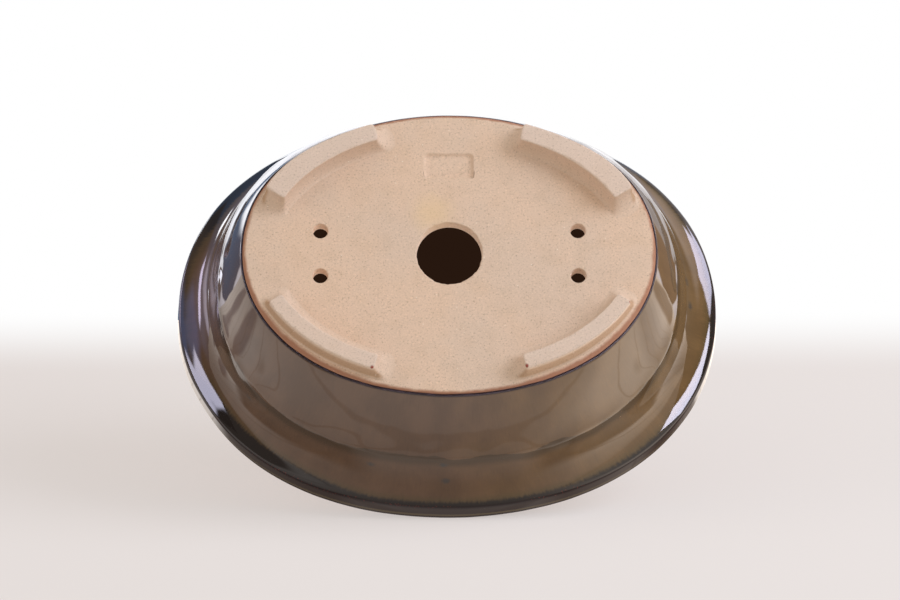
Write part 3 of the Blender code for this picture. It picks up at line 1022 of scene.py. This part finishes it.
def make_clay_grain():
    """Group: a clay colour with patches, dark grains and painted glints of pale highlight, and a height for
    the bump.
    """
    group = bpy.data.node_groups.new("clay_grain", "ShaderNodeTree")
    for name, kind, value in GROUP_INPUTS:
        add_socket(group, name, "INPUT", kind, value)
    add_socket(group, "Colour", "OUTPUT", "Color")
    add_socket(group, "Height", "OUTPUT", "Float")
    come, go = group.nodes.new("NodeGroupInput").outputs, group.nodes.new("NodeGroupOutput")
    patch = noise(group, come["Place"], 34 * MM, detail=4, roughness=0.55)
    cloud = noise(group, come["Place"], 7 * MM, detail=5, roughness=0.6)
    fine = noise(group, come["Place"], 0.75 * MM, detail=3, roughness=0.7)
    coarse = noise(group, come["Place"], 2.1 * MM, detail=2, roughness=0.6)
    colour = come["Clay"]
    for value, low, high, strength, shade in (
        (patch, 0.35, 0.68, "Patches", HOT_PATCH), (cloud, 0.42, 0.72, "Patches", COOL_CLOUD),
        (fine, 0.54, 0.70, "Grain", DARK_GRAIN), (fine, 0.45, 0.30, "Grain", PALE_GRAIN),
    ):
        mask = ramp_between(group, value, low, high)
        colour = coated(group, colour, mask, come[strength], shade, "MULTIPLY")
    # painted highlight: pale glint dots in the clay's colour
    colour = coated(group, colour, painted_glints(group, come["Place"]), 0.5, PAINTED_GLINT)
    height = plus(group, times(group, fine, 0.6), times(group, coarse, 0.4))
    fill_inputs(group, go, {"Colour": colour, "Height": height})
    return group


clay_grain = make_clay_grain()
print("clay_grain:", len(clay_grain.nodes), "nodes")

# %% [markdown]
# Bare clay shows on the slab and inside. Where it ends against the glaze the fire toasted it red-brown,
# so the colour goes by how near a point is to the base edge, which is an ellipse in plan, a little fuller
# near the back corners. A yellow stain lies beside the drain hole. Worn clay is the same body, rubbed pale
# and smooth where the soles stand, with a dot of iron at two corners of each front sole.

# %% Bare and worn clay
BUFF, WORN, TOASTED = (0.708, 0.540, 0.428), (0.72, 0.570, 0.480), (0.36, 0.14, 0.075)
# The brown of the hollow outside a foot is painted shade, with some toasting of the clay.
YELLOW_STAIN, HOLLOW_SHADE_BROWN, IRON_DOT = (0.78, 0.56, 0.33), (0.46, 0.27, 0.155), (0.30, 0.075, 0.055)
STAIN_PLACE, STAIN_SIZE = (6.0 * MM, 16.5 * MM, SLAB_BOTTOM), 9 * MM
SOLE_DOTS = [
    (x * MM, y * MM, 0.2 * MM) for x, y in ((29.7, -49.7), (69.4, -23.7), (-29.1, -49.3), (-69.2, -23.3))
]
SWELL_SHARE = 0.03  # the base's swell as a share of its size


def edge_nearness(tree, reach, spread):
    """1 at the slab's edge and 0 further in, by the size of the ellipse that a point lies on.

    The size is √((x/a)² + (y/b)²), less the bell curve of the base's swell. Above the slab all of it
    fades out.
    """
    x, y, z = place_parts(tree)
    length = maths(tree, "DIVIDE", x, float(BASE_HALF[0]))
    width = maths(tree, "DIVIDE", y, float(BASE_HALF[1]))
    size = maths(tree, "SQRT", plus(tree, squared(tree, length), squared(tree, width)))
    from_axis = vector_maths(
        tree, "LENGTH", vector_maths(tree, "MULTIPLY", object_place(tree), (1, 1, 0), "Vector")
    )
    off = maths(tree, "DIVIDE", minus(tree, maths(tree, "DIVIDE", y, from_axis), SWELL_MIDDLE), SWELL_SPREAD)
    swell = maths(tree, "EXPONENT", times(tree, squared(tree, off), -1.0))
    size = minus(tree, size, times(tree, swell, SWELL_SHARE))
    size = plus(tree, size, times(tree, noise(tree, object_place(tree), 5 * MM), 0.02))
    return times(tree, ramp_between(tree, size, reach, reach + spread), length_ramp(tree, z, 14, 11))


def ragged_patch(tree, place, grain, depth, outer, inner):
    """1 at a place and 0 beyond the outer distance, with an edge that noise makes ragged."""
    ragged = times(tree, noise(tree, object_place(tree), grain), depth)
    return ramp_between(tree, plus(tree, distance_to(tree, place), ragged), outer, inner)


def finish_clay(tree, shader, clay, overlays, patches, grain, relief, roughness):
    """Grains the clay, covers it with overlays of mask, most and colour, and sets its relief and dullness."""
    placed = tree.nodes.new("ShaderNodeGroup")
    placed.node_tree = clay_grain
    values = {"Place": object_place(tree), "Clay": as_colour(clay), "Patches": patches, "Grain": grain}
    colour = fill_inputs(tree, placed, values).outputs["Colour"]
    for mask, most, shade in overlays:
        colour = coated(tree, colour, mask, most, shade)
    normal = bump(tree, placed.outputs["Height"], relief, 0.10 * MM)
    fill_inputs(tree, shader, {
        "Base Color": colour, "Normal": normal, "Roughness": roughness, "Specular IOR Level": 0.25
    })


def make_bare_clay():
    """Speckled buff clay, stained yellow by the drain hole and toasted towards the base edge."""
    material, tree, shader = new_material("bare_clay")
    outer, inner = 1.7 * STAIN_SIZE, 0.5 * STAIN_SIZE
    stain = ragged_patch(tree, STAIN_PLACE, grain=8 * MM, depth=0.9 * STAIN_SIZE, outer=outer, inner=inner)
    toast = edge_nearness(tree, reach=0.982, spread=0.020)
    overlays = ((stain, 0.55, YELLOW_STAIN), (toast, 0.85, TOASTED))
    finish_clay(tree, shader, BUFF, overlays, patches=1.0, grain=0.9, relief=0.55, roughness=0.88)
    return material


def make_worn_clay():
    """The same clay, pale and rubbed at the sole's level, and brown in the hollow outside it: painted shade,
    with some toasting.
    """
    material, tree, shader = new_material("worn_clay")
    level = place_parts(tree)["Z"]
    patch = times(tree, noise(tree, object_place(tree), 2.5 * MM, detail=4), 0.7 * MM)
    worn = length_ramp(tree, plus(tree, level, patch), 1.2, 0.5)
    above_root = ramp_between(tree, level, SLAB_BOTTOM - 0.2 * MM, SLAB_BOTTOM - 1.8 * MM)
    outside = edge_nearness(tree, reach=0.935, spread=0.025)
    # painted shade in the hollow outside the sole, with some toasting
    hollow_shade = times(tree, outside, length_ramp(tree, level, 0.8, 3.5), above_root)
    clay = coated(tree, BUFF, hollow_shade, 0.75, HOLLOW_SHADE_BROWN)
    clay = colour_mix(tree, worn, clay, WORN)
    dots = 0.0
    for place in SOLE_DOTS:
        dot = ragged_patch(tree, place, grain=1.2 * MM, depth=1.0 * MM, outer=1.5 * MM, inner=0.8 * MM)
        dots = maths(tree, "MAXIMUM", dots, dot)
    overlays = ((dots, 1.0, IRON_DOT),)
    finish_clay(tree, shader, clay, overlays, patches=0.5, grain=0.8, relief=0.5, roughness=0.9)
    return material


bare_clay, worn_clay = make_bare_clay(), make_worn_clay()
for piece in (clay_base, clay_body, *worn_feet):
    piece.data.materials.append(worn_clay if piece in worn_feet else bare_clay)
    print(piece.name, "wears", piece.data.materials[0].name)

# %% [markdown]
# ## The glaze
#
# This iron glaze is olive on one side of the pot and umber on the other. It runs in fine streaks down the
# profile and pools dark in the hollow of the crease, where the dark also stands for painted shade. The bands
# are placed by the length up the profile, which the coat carries on its points, so they follow the pot
# however it bends.

# %% Streaks, pool and painted crease shade
OLIVE = ((0.152, 0.086, 0.036), (0.190, 0.108, 0.045))  # darker and paler, on the -X side
UMBER = ((0.112, 0.061, 0.036), (0.142, 0.078, 0.046))  # and the same on the +X side
THIN_STREAK, THICK_STREAK = (0.70, 0.72, 0.78), (1.25, 1.20, 1.08)  # what they multiply the glaze by
# the pool's dark brown is partly pooled glaze and partly painted shade of the crease
POOL_AND_CREASE_SHADE = (0.045, 0.027, 0.012)


def streaked_glaze(tree, x, broad, patch, streak):
    """Olive that goes over to umber across the pot, in broad clouds, with fine streaks over both."""
    cloud = ramp_between(tree, broad, 0.35, 0.68)
    side = plus(tree, x, times(tree, minus(tree, patch, 0.5), 90 * MM))
    olive, umber = (colour_mix(tree, cloud, *pair) for pair in (OLIVE, UMBER))
    colour = colour_mix(tree, length_ramp(tree, side, -75, 15), olive, umber)
    colour = coated(tree, colour, ramp_between(tree, streak, 0.52, 0.74), 0.35, THIN_STREAK, "MULTIPLY")
    return coated(tree, colour, ramp_between(tree, streak, 0.46, 0.30), 0.35, THICK_STREAK, "MULTIPLY")


def pooled_and_shaded(tree, colour, up, broad):
    """A dark pool with a sharp lower edge at the crease, which sways with the broad clouds: pooled glaze and
    painted shade of the crease in one.
    """
    sway = times(tree, minus(tree, broad, 0.5), 7 * MM)
    from_crease = minus(tree, minus(tree, up, profile_at["crease"]), sway)
    return coated(tree, colour, length_window(tree, from_crease, -0.3, 0.3, 3, 9), 0.65, POOL_AND_CREASE_SHADE)


# %% [markdown]
# At the lip's lower corner the glaze runs thin and breaks almost black. The break is built up from below:
# a dusky fringe that feathers down the cove, wider on the +X side, the dark corner, darkened further with
# painted shade, with its rusty specks, the brown band with one paler line, and the dark rim.

# %% The break at the lip's corner
# the corner's near-black is the glaze's break with painted shade along the corner
DUSK, FRINGE_BLACK, CORNER_BREAK_AND_SHADE = (0.075, 0.056, 0.022), (0.012, 0.010, 0.012), (0.016, 0.006, 0.007)
BAND_BROWN, LINE_TAN, RIM_BROWN = (0.034, 0.020, 0.018), (0.13, 0.098, 0.060), (0.028, 0.017, 0.015)
RUST, SPOT_GREY, START_BROWN = (0.16, 0.030, 0.022), (0.04, 0.045, 0.05), (0.022, 0.010, 0.013)
FRINGE_WIDER = 3.4 * MM
GLAZE_SPOTS = (  # in millimetres
    (30, -68.3, 57), (2.1, -71.1, 51.3), (1.2, -73, 64),
    (-94.7, -0.9, 66.3), (-93.2, 8.8, 65.1), (76.4, -41, 57.3),
)


def broken(tree, colour, x, from_corner, feather):
    """The fringe under the lip's corner, the corner with its painted shade, and the bands above it, one coat
    after another.

    The lengths are in millimetres up the profile from the corner, and below 0 in the cove.
    """
    wider = times(tree, length_window(tree, x, 25, 70, 90, 102), FRINGE_WIDER)
    ragged = plus(tree, plus(tree, from_corner, feather), wider)
    colour = coated(tree, colour, length_ramp(tree, ragged, -6.5, -2.5), 0.5, DUSK)
    strength = maths(tree, "MULTIPLY_ADD", length_ramp(tree, x, 104, 92), 0.5, 0.4)
    colour = coated(tree, colour, length_ramp(tree, ragged, -3.6, -1.3), strength, FRINGE_BLACK)
    # the corner: the glaze's break, darkened with painted shade
    colour = coated(tree, colour, length_ramp(tree, from_corner, -0.9, -0.1), 0.9, CORNER_BREAK_AND_SHADE)
    wavy = plus(tree, from_corner, times(tree, feather, 0.3))
    colour = colour_mix(tree, length_ramp(tree, wavy, 1.0, 2.4), colour, BAND_BROWN)
    colour = coated(tree, colour, length_window(tree, from_corner, 6.6, 7.4, 8.3, 9.2), 0.7, LINE_TAN)
    return coated(tree, colour, length_ramp(tree, from_corner, 8.8, 10.2), 0.7, RIM_BROWN)


def specked(tree, colour, flow, patch, from_corner, feather):
    """Rusty specks in a line along the corner where the patches allow it, and a few grey spots."""
    cells = add_node(tree, "ShaderNodeTexVoronoi", {"Vector": flow, "Scale": 1 / (0.9 * MM)}).outputs
    along_corner = length_window(tree, from_corner, -1.3, -0.4, 0.7, 1.6)
    near = times(tree, along_corner, ramp_between(tree, patch, 0.35, 0.65))
    colour = coated(tree, colour, ramp_between(tree, cells["Distance"], 0.30, 0.18), near, RUST)
    for place in GLAZE_SPOTS:
        apart = distance_to(tree, [v * MM for v in place])
        apart = plus(tree, apart, times(tree, feather, 0.8))
        colour = coated(tree, colour, length_ramp(tree, apart, 2.8, 0.6), 0.7, SPOT_GREY)
    return colour


# %% Glaze material


def make_glaze():
    """The glaze: glossy and streaked, with its pool and its break, and dull where it starts at the base."""
    material, tree, shader = new_material("glaze")
    flow, up = attribute(tree, "flow", "Vector"), attribute(tree, "up_profile")
    x = place_parts(tree)["X"]
    streak = noise(tree, flow, 0.7 * MM, detail=4, roughness=0.65, stretch=(1, 1, 9))
    broad = noise(tree, flow, 12 * MM, detail=4, stretch=(1, 1, 2))
    patch = noise(tree, flow, 30 * MM, detail=3)
    feather = noise(tree, flow, 0.9 * MM, detail=3, stretch=(1, 1, 4))
    feather = times(tree, minus(tree, feather, 0.5), 2.4 * MM)
    wave = noise(tree, flow, 11 * MM, detail=1.5, stretch=(1, 1, 1.6))
    from_corner = minus(tree, up, profile_at["corner"])
    start = length_ramp(tree, up, 1.7, 0.9)

    colour = pooled_and_shaded(tree, streaked_glaze(tree, x, broad, patch, streak), up, broad)
    colour = broken(tree, colour, x, from_corner, feather)
    colour = specked(tree, colour, flow, patch, from_corner, feather)
    colour = colour_mix(tree, start, colour, START_BROWN)
    height = plus(tree, wave, times(tree, streak, 0.008))
    dull = add_node(tree, "ShaderNodeMapRange", {"Value": start, "To Min": 0.045, "To Max": 0.55})
    fill_inputs(tree, shader, {
        "Base Color": colour, "Normal": bump(tree, height, 0.22, 0.32 * MM),
        "Roughness": dull.outputs["Result"], "IOR": 1.52,
    })
    return material


glaze = make_glaze()
glaze_coat.data.materials.append(glaze)
print("glaze:", len(glaze.node_tree.nodes), "nodes")

# %% [markdown]
# ## The stage
#
# Two floors share the scene, because the photograph's table isn't the floor that the pot stands on here.
# The first is a plain floor under the feet. It shows only from above: from behind, it is transparent.
# The second is the table that the lip leans on in the photograph. It is made of narrow level treads, one
# behind the other, whose faces look straight down, so that it shows only from below.

# %% Directions of the photograph
TABLE_TILT = math.radians(32)  # between the photograph's table and the pot's base
TABLE_UP = Vector((0, math.cos(TABLE_TILT), -math.sin(TABLE_TILT)))
TABLE_NEARER = Vector((0, -math.sin(TABLE_TILT), -math.cos(TABLE_TILT)))
coat_points = np.zeros((len(glaze_coat.data.vertices), 3), np.float32)
glaze_coat.data.vertices.foreach_get("co", coat_points.ravel())
lowest_point = coat_points[(coat_points @ np.array(TABLE_UP)).argmin()]
TABLE_POINT = Vector(lowest_point.tolist()) - 0.4 * MM * TABLE_UP
print("the lip leans on the table at", [round(v / MM, 1) for v in TABLE_POINT], "mm")


def add_stage(name, points, quads, material):
    """A stage mesh that only the camera sees, and that no reflection, shadow or bounced light knows."""
    mesh = bpy.data.meshes.new(name)
    mesh.from_pydata(np.array(points, float).tolist(), [], np.array(quads).tolist())
    mesh.materials.append(material)
    thing = bpy.data.objects.new(name, mesh)
    bpy.context.scene.collection.objects.link(thing)
    for ray in ("diffuse", "glossy", "transmission", "volume_scatter", "shadow"):
        setattr(thing, f"visible_{ray}", False)
    return thing


# %% Pale one-sided floors
GREY_FLOOR, WARM_TABLE = (0.80, 0.78, 0.76), (0.84, 0.79, 0.78)
FLOOR_REACH = 14.0
FLOOR_WHITE, TABLE_WHITE = (0.35, 1.5), (0.26, 0.40)  # from and to which distance they turn white


def shining(tree, colour):
    """Plain light of one colour."""
    return add_node(tree, "ShaderNodeEmission", {"Color": as_colour(colour), "Strength": 1.0}).outputs[0]


def show_surface(tree, shown):
    """Makes a shader the surface of its material."""
    tree.links.new(shown, tree.nodes["Material Output"].inputs["Surface"])


def show_from_front(tree, shown):
    """Makes a shader the surface, but leaves the backs of its faces clear."""
    clear = add_node(tree, "ShaderNodeBsdfTransparent").outputs[0]
    behind = add_node(tree, "ShaderNodeNewGeometry").outputs["Backfacing"]
    show_surface(tree, add_node(tree, "ShaderNodeMixShader", {0: behind, 1: shown, 2: clear}).outputs[0])


def make_floor_paint(name, colour, glow, white, distance):
    """A matt paint whose glow softens shadows, and which turns white with the distance."""
    material, tree, shader = new_material(name)
    fill_inputs(tree, shader, {
        "Base Color": as_colour([v * (1 - glow) for v in colour]), "Roughness": 0.8,
        "Specular IOR Level": 0.0, "Emission Color": as_colour(colour), "Emission Strength": glow,
    })
    far = ramp_between(tree, distance(tree), *white)
    faded = add_node(tree, "ShaderNodeMixShader", {0: far, 1: shader.outputs[0], 2: shining(tree, (1, 1, 1))})
    show_from_front(tree, faded.outputs[0])
    return material


def from_middle(tree):
    """Distance from the pot's axis."""
    return vector_maths(tree, "LENGTH", object_place(tree))


def past_the_pot(tree):
    """Distance away from the camera along the photograph's table, from where the lip leans on it."""
    away = vector_maths(tree, "DOT_PRODUCT", object_place(tree), -TABLE_NEARER)
    return minus(tree, away, float(-TABLE_NEARER.dot(TABLE_POINT)))


floor_paint = make_floor_paint("floor_paint", GREY_FLOOR, glow=0.2, white=FLOOR_WHITE, distance=from_middle)
floor_points = [(x * FLOOR_REACH, y * FLOOR_REACH, 0) for x, y in ((-1, -1), (1, -1), (1, 1), (-1, 1))]
floor = add_stage("floor", floor_points, [(0, 1, 2, 3)], floor_paint)
print(floor.name, 2 * FLOOR_REACH, "m wide")

# %% The photograph's table as treads
TREAD_HALF, TREAD_STEP = 0.26, 1.5 * MM
TABLE_NEAR_END, TABLE_FAR_END = -0.13, 0.30  # from where the lip leans, along +Y


def make_treads():
    """Level strips along the table's slope, each wide enough to meet the next one in the camera's view."""
    rise = -TABLE_NEARER.z / -TABLE_NEARER.y
    past_lip = np.arange(TABLE_NEAR_END, TABLE_FAR_END, TREAD_STEP)
    points = np.zeros((len(past_lip), 4, 3))
    points[:, :, 0] = np.array([-1, 1, 1, -1]) * TREAD_HALF
    points[:, :, 1] = TABLE_POINT.y + past_lip[:, None] + np.array([0, 0, 0.5, 0.5]) * TREAD_STEP
    points[:, :, 2] = TABLE_POINT.z + past_lip[:, None] * rise
    quads = np.arange(len(past_lip) * 4).reshape(-1, 4)[:, ::-1]
    paint = make_floor_paint("table_paint", WARM_TABLE, glow=0.55, white=TABLE_WHITE, distance=past_the_pot)
    return add_stage("table", points.reshape(-1, 3), quads, paint)


table = make_treads()
print("table of", len(table.data.polygons), "treads")

# %% [markdown]
# The glaze mirrors the table too, from close by: its band shows the dark strip where the lip leans on it,
# and the lip and wall show the shade beside the pot. The treads can't be mirrored, so a plain flat sheet
# lies in their place, seen by reflections alone. Its shades are painted one over another.

# %% The table that the glaze mirrors
# the dark under the pot is a painted shadow, and the far and lit boards are painted light
PALE_BOARD, FAR_BOARD, LIT_BOARD = (1.04, 0.96, 0.91), (1.9, 1.65, 1.45), (2.2, 1.9, 1.65)
UNDER_POT_SHADOW, POT_SHADE, BOARD_JOINT = (0.10, 0.085, 0.075), (0.10, 0.08, 0.07), (0.12, 0.09, 0.07)
SLANT = 0.3  # how much further back the shade beside the pot lies, for each step aside
# the blots are patches of painted shade on the mirrored table
SHADE_BLOTS = (  # millimetres along +X, away from the camera and across, and the colour
    (310, 235, 45, (0.26, 0.25, 0.30)), (232, 100, 42, (0.26, 0.25, 0.30)),
    (-312, 300, 85, (0.30, 0.20, 0.14)), (-115, 90, 62, (0.10, 0.06, 0.04)),
)


def board_colour(tree, x, behind):
    """Pale boards with a painted shadow in an oval under the pot, and painted light far behind it and beside
    it at -X.
    """
    across = maths(tree, "DIVIDE", x, 1.15)
    along = maths(tree, "DIVIDE", minus(tree, behind, 45 * MM), 0.75)
    apart = maths(tree, "SQRT", plus(tree, squared(tree, across), squared(tree, along)))
    colour = colour_mix(tree, length_ramp(tree, apart, 35, 150), UNDER_POT_SHADOW, PALE_BOARD)
    most = maths(tree, "MULTIPLY_ADD", length_ramp(tree, x, 200, 80), 0.85, 0.15)
    colour = coated(tree, colour, length_ramp(tree, behind, 20, 300), most, FAR_BOARD)
    beside = length_ramp(tree, x, -25, -110)
    return coated(tree, colour, length_window(tree, behind, -45, -15, 25, 80), beside, LIT_BOARD)


def board_shades(tree, colour, x, behind):
    """The painted shade on both sides of the pot, the one in front of it at +X, the blots of painted shade
    and the boards' joints.
    """
    aside = maths(tree, "ABSOLUTE", x)
    slanted = length_ramp(tree, maths(tree, "MULTIPLY_ADD", aside, -SLANT, behind), -28, -18)
    beside = times(tree, length_window(tree, aside, 30, 50, 145, 175), length_ramp(tree, behind, 110, 60))
    colour = coated(tree, colour, times(tree, beside, slanted), 0.85, POT_SHADE)
    in_front = times(tree, length_ramp(tree, x, 80, 110), length_ramp(tree, behind, -35, -50))
    colour = coated(tree, colour, in_front, 0.85, POT_SHADE)
    # each blot is a soft round patch of painted shade
    for along_x, away, size, shade in SHADE_BLOTS:
        place = Vector((along_x * MM, TABLE_POINT.y, TABLE_POINT.z)) - TABLE_NEARER * away * MM
        blot_shade = length_ramp(tree, distance_to(tree, place), size * 1.15, size * 0.6)
        colour = coated(tree, colour, blot_shade, 0.8, shade)
    joint = length_ramp(tree, maths(tree, "PINGPONG", behind, 17 * MM), 1.8, 0.7)
    return coated(tree, colour, joint, 0.3, BOARD_JOINT)


def make_mirrored_table():
    """A sheet along the table that shines with the boards' colours, seen only in reflections."""
    material, tree, _ = new_material("mirrored_table")
    x, behind = place_parts(tree)["X"], past_the_pot(tree)
    show_surface(tree, shining(tree, board_shades(tree, board_colour(tree, x, behind), x, behind)))
    half, nearer_end, far_end = 1.2, 0.9, -0.38
    corners = [(-half, nearer_end), (half, nearer_end), (half, far_end), (-half, far_end)]
    points = [Vector((side, TABLE_POINT.y, TABLE_POINT.z)) + TABLE_NEARER * reach for side, reach in corners]
    sheet = add_stage("mirrored_table", points, [(0, 1, 2, 3)], material)
    sheet.visible_camera = False
    sheet.visible_glossy = True
    return sheet


mirrored_table = make_mirrored_table()
print("mirrored table:", len(mirrored_table.active_material.node_tree.nodes), "nodes")

# %% [markdown]
# From below, the holes would show the bright backdrop through the pot's mouth. In the photograph
# something dark lies behind them. A dark card inside the mouth does the same, and it too faces down.

# %% Dark card behind the holes
CARD_COLOUR, CARD_LEVEL, CARD_INSET = (0.020, 0.009, 0.005), 68 * MM, 14 * MM
CARD_POINTS = 64


def make_dark_card():
    """A dark oval patch just inside the mouth, seen only from below."""
    material, tree, _ = new_material("dark_card")
    show_from_front(tree, shining(tree, CARD_COLOUR))
    turn = np.arange(CARD_POINTS) * ROUND / CARD_POINTS
    rim = oval_rows(CARD_LEVEL, CARD_INSET, turn)
    return add_stage("dark_card", rim, [np.arange(CARD_POINTS)[::-1]], material)


dark_card = make_dark_card()
print("dark card of", len(dark_card.data.vertices), "points")

# %% [markdown]
# ## Light
#
# The light is soft and plain. A broad lamp on the photograph's right, under the floor here, gives the
# underside its relief, and a weaker one fills from the left. Another from above serves the other views.
# The lamps don't show in the glaze: it mirrors the sheet of table and a room that is painted in the world,
# a pale backdrop behind the pot and a darker room with bright patches round the camera. The camera itself
# sees the world as plain white.

# %% Lamps


KEY_COLOUR, FILL_COLOUR = (0.92, 1.0, 1.13), (0.97, 0.98, 1.0)
LAMP_AIM = Vector((0, 0, 40 * MM))


def add_lamp(name, direction, distance, size, strength, colour=(1, 1, 1)):
    """A square lamp that looks at the pot from a direction.

    Strength is the brightness that it gives white paint: an area lamp needs π²·distance² watts for 1.
    """
    lamp = bpy.data.objects.new(name, bpy.data.lights.new(name, "AREA"))
    way = Vector(direction).normalized()
    lamp.location = way * distance + LAMP_AIM
    lamp.rotation_euler = way.to_track_quat("Z", "Y").to_euler()
    lamp.data.size = size
    lamp.data.energy = strength * math.pi**2 * distance**2
    lamp.data.color = colour
    lamp.visible_glossy = False
    lamp.visible_camera = False
    bpy.context.scene.collection.objects.link(lamp)
    print(name, round(lamp.data.energy, 2), "W")


def photo_direction(to_right, up, nearer):
    """A direction given as right, up from the table and towards the camera in the photograph."""
    return Vector((-1, 0, 0)) * to_right + TABLE_UP * up + TABLE_NEARER * nearer


key_way, fill_way = photo_direction(0.78, 0.58, 0.42), photo_direction(-1.0, 0.5, 0.5)
top_way = (-0.5, -0.55, 0.9)
add_lamp("key_lamp", key_way, distance=1.3, size=0.9, strength=0.60, colour=KEY_COLOUR)
add_lamp("fill_lamp", fill_way, distance=1.3, size=0.9, strength=0.12, colour=FILL_COLOUR)
add_lamp("top_lamp", top_way, distance=1.4, size=1.1, strength=0.55)

# %% [markdown]
# The world is painted like a globe round the pot. Longitude is 0 straight away from the photograph's
# camera and 90 to its right, and latitude is 0 at the table's horizon and 90 overhead, both in degrees.
# Each patch of light has a left and a right edge that may lean, so four numbers and two leans place it.

# %% Patches of the painted room
FILL_LIGHT = (0.57, 0.525, 0.455)  # what matt surfaces get from all sides
ROOM_LEFT, ROOM_RIGHT, ROOM_BY_CAMERA = (0.16, 0.17, 0.20), (0.20, 0.19, 0.17), (0.07, 0.065, 0.065)
SKY, SKY_TOP = (2.4, 2.5, 2.65), (8.5, 8.7, 9.2)
SKY_LOW_LEFT, SKY_LOW_RIGHT = (2.0, 2.05, 2.2), (1.0, 1.0, 1.05)
BACKDROP = ((-30, 0.1), (33, -0.15), -9.5, 95, 0.8)
# each light's left and right edge (longitude at latitude 0, and lean), low and high edge, softness, colour
ROOM_LIGHTS = {
    "left_glow": ((-88, 0), (-45, 0), 0, 28, 8.0, (0.5, 0.6, 0.95)),
    "left_rear": ((-60, 0), (-28, 0), 18, 60, 3.0, (0.20, 0.34, 0.58)),
    "right_back": ((27, 0), (42, 0), 20, 60, 3.0, (1.0, 1.1, 1.35)),
    "left_purple": ((-112, 0), (-86, 0), 12, 32, 5.0, (0.45, 0.8, 1.8)),
    "left_faint": ((-62, 0), (-50, 0), -6, 16, 3.0, (1.9, 1.8, 2.3)),
    "left_streak": ((-91, 0.75), (-81.5, 0.75), 11, 26, 2.0, (8.0, 7.3, 10.0)),
    "left_spot": ((-47, 0), (-37, 0), 19.5, 25.5, 1.0, (8.5, 8.7, 9.2)),
    "left_front": ((-119.8, -0.66), (-112.5, 0.45), -3, 18.5, 2.0, (8.6, 8.4, 10.8)),
    "right_glow": ((40, 0), (80, 0), 20, 46, 6.0, (1.5, 1.35, 1.3)),
    "right_rear": ((106.4, -0.85), (103, 0), 30.3, 43.5, 1.0, (10.0, 9.7, 12.4)),
    "right_front": ((118.5, -0.5), (144, 0), -22, 28, 1.0, (15.0, 14.7, 18.0)),
}
LOW_STRIPS = {
    "table_end": ((-180, 0), (180, 0), -90, -9.6, 0.4, (1.40, 1.30, 1.30)),
    "left_dark": ((-34, 0), (-3, 0), -90, -4.8, 0.8, (0.07, 0.14, 0.25)),
    "middle_dark": ((-3, 0), (17, 0), -90, -4.4, 1.2, (0.40, 0.37, 0.37)),
    "right_dark": ((17, 0), (34, 0), -90, -4.6, 1.0, (0.26, 0.17, 0.12)),
    "left_end": ((-42, 0), (-33, 0), -5, -1, 0.8, (4.3, 4.4, 5.0)),
    "left_low_end": ((-45, 0), (-34, 0), -12, -7, 1.0, (1.5, 1.45, 1.6)),
    "right_end": ((34, 0), (46, 0), -14, -5, 1.0, (1.7, 1.6, 1.7)),
}


def soft_step(tree, value, edge, softness):
    """0 below an edge and 1 above it, softly."""
    below, above = (maths(tree, sign, edge, softness) for sign in ("SUBTRACT", "ADD"))
    return ramp_between(tree, value, below, above)


def globe_patch(tree, lon, lat, left, right, low, high, softness):
    """1 inside a four-sided patch of the globe. An edge that leans lies at start + lean · latitude."""
    edges = (maths(tree, "MULTIPLY_ADD", lat, lean, start) for start, lean in (left, right))
    past_left, past_right = (soft_step(tree, lon, edge, softness) for edge in edges)
    below_top = minus(tree, 1.0, soft_step(tree, lat, high, softness))
    return times(tree, minus(tree, past_left, past_right), soft_step(tree, lat, low, softness), below_top)


def room_colour(tree):
    """The painted room: dim walls, their lights, the backdrop and the strips of table below it."""
    way = add_node(tree, "ShaderNodeTexCoord").outputs["Generated"]
    directions = (-TABLE_NEARER, TABLE_UP, (-1, 0, 0))
    away, up, right = (vector_maths(tree, "DOT_PRODUCT", way, direction) for direction in directions)
    lon = maths(tree, "DEGREES", maths(tree, "ARCTAN2", right, away))
    lat = maths(tree, "DEGREES", maths(tree, "ARCSINE", up))
    room = colour_mix(tree, ramp_between(tree, lon, -60, 60), ROOM_LEFT, ROOM_RIGHT)
    room = colour_mix(tree, ramp_between(tree, away, 0.1, -0.7), room, ROOM_BY_CAMERA)
    sky = colour_mix(tree, ramp_between(tree, lat, 20, 42), SKY, SKY_TOP)
    pale = colour_mix(tree, ramp_between(tree, lon, -20, 5), SKY_LOW_LEFT, SKY_LOW_RIGHT)
    sky = colour_mix(tree, ramp_between(tree, lat, 8, -1), sky, pale)
    for *edges, colour in (*ROOM_LIGHTS.values(), (*BACKDROP, sky), *LOW_STRIPS.values()):
        room = colour_mix(tree, globe_patch(tree, lon, lat, *edges), room, colour)
    return room


# %% World


def make_world():
    """White for the camera, a plain fill for matt surfaces, and the painted room for reflections."""
    world = bpy.data.worlds.new("studio")
    bpy.context.scene.world = world
    world.use_nodes = True
    world.cycles.sampling_method = "NONE"
    tree = world.node_tree
    tree.nodes.clear()
    fill, room, white = (
        add_node(tree, "ShaderNodeBackground", {"Color": as_colour(colour), "Strength": 1.0}).outputs[0]
        for colour in (FILL_LIGHT, room_colour(tree), (1, 1, 1))
    )
    rays = add_node(tree, "ShaderNodeLightPath").outputs
    mirrored = maths(tree, "MAXIMUM", rays["Is Glossy Ray"], rays["Is Transmission Ray"])
    unseen = add_node(tree, "ShaderNodeMixShader", {0: mirrored, 1: fill, 2: room}).outputs[0]
    shown = add_node(tree, "ShaderNodeMixShader", {0: rays["Is Camera Ray"], 1: unseen, 2: white}).outputs[0]
    add_node(tree, "ShaderNodeOutputWorld", {"Surface": shown})
    return world


studio = make_world()
bpy.context.scene.view_settings.view_transform = "Standard"
print("world:", len(studio.node_tree.nodes), "nodes")
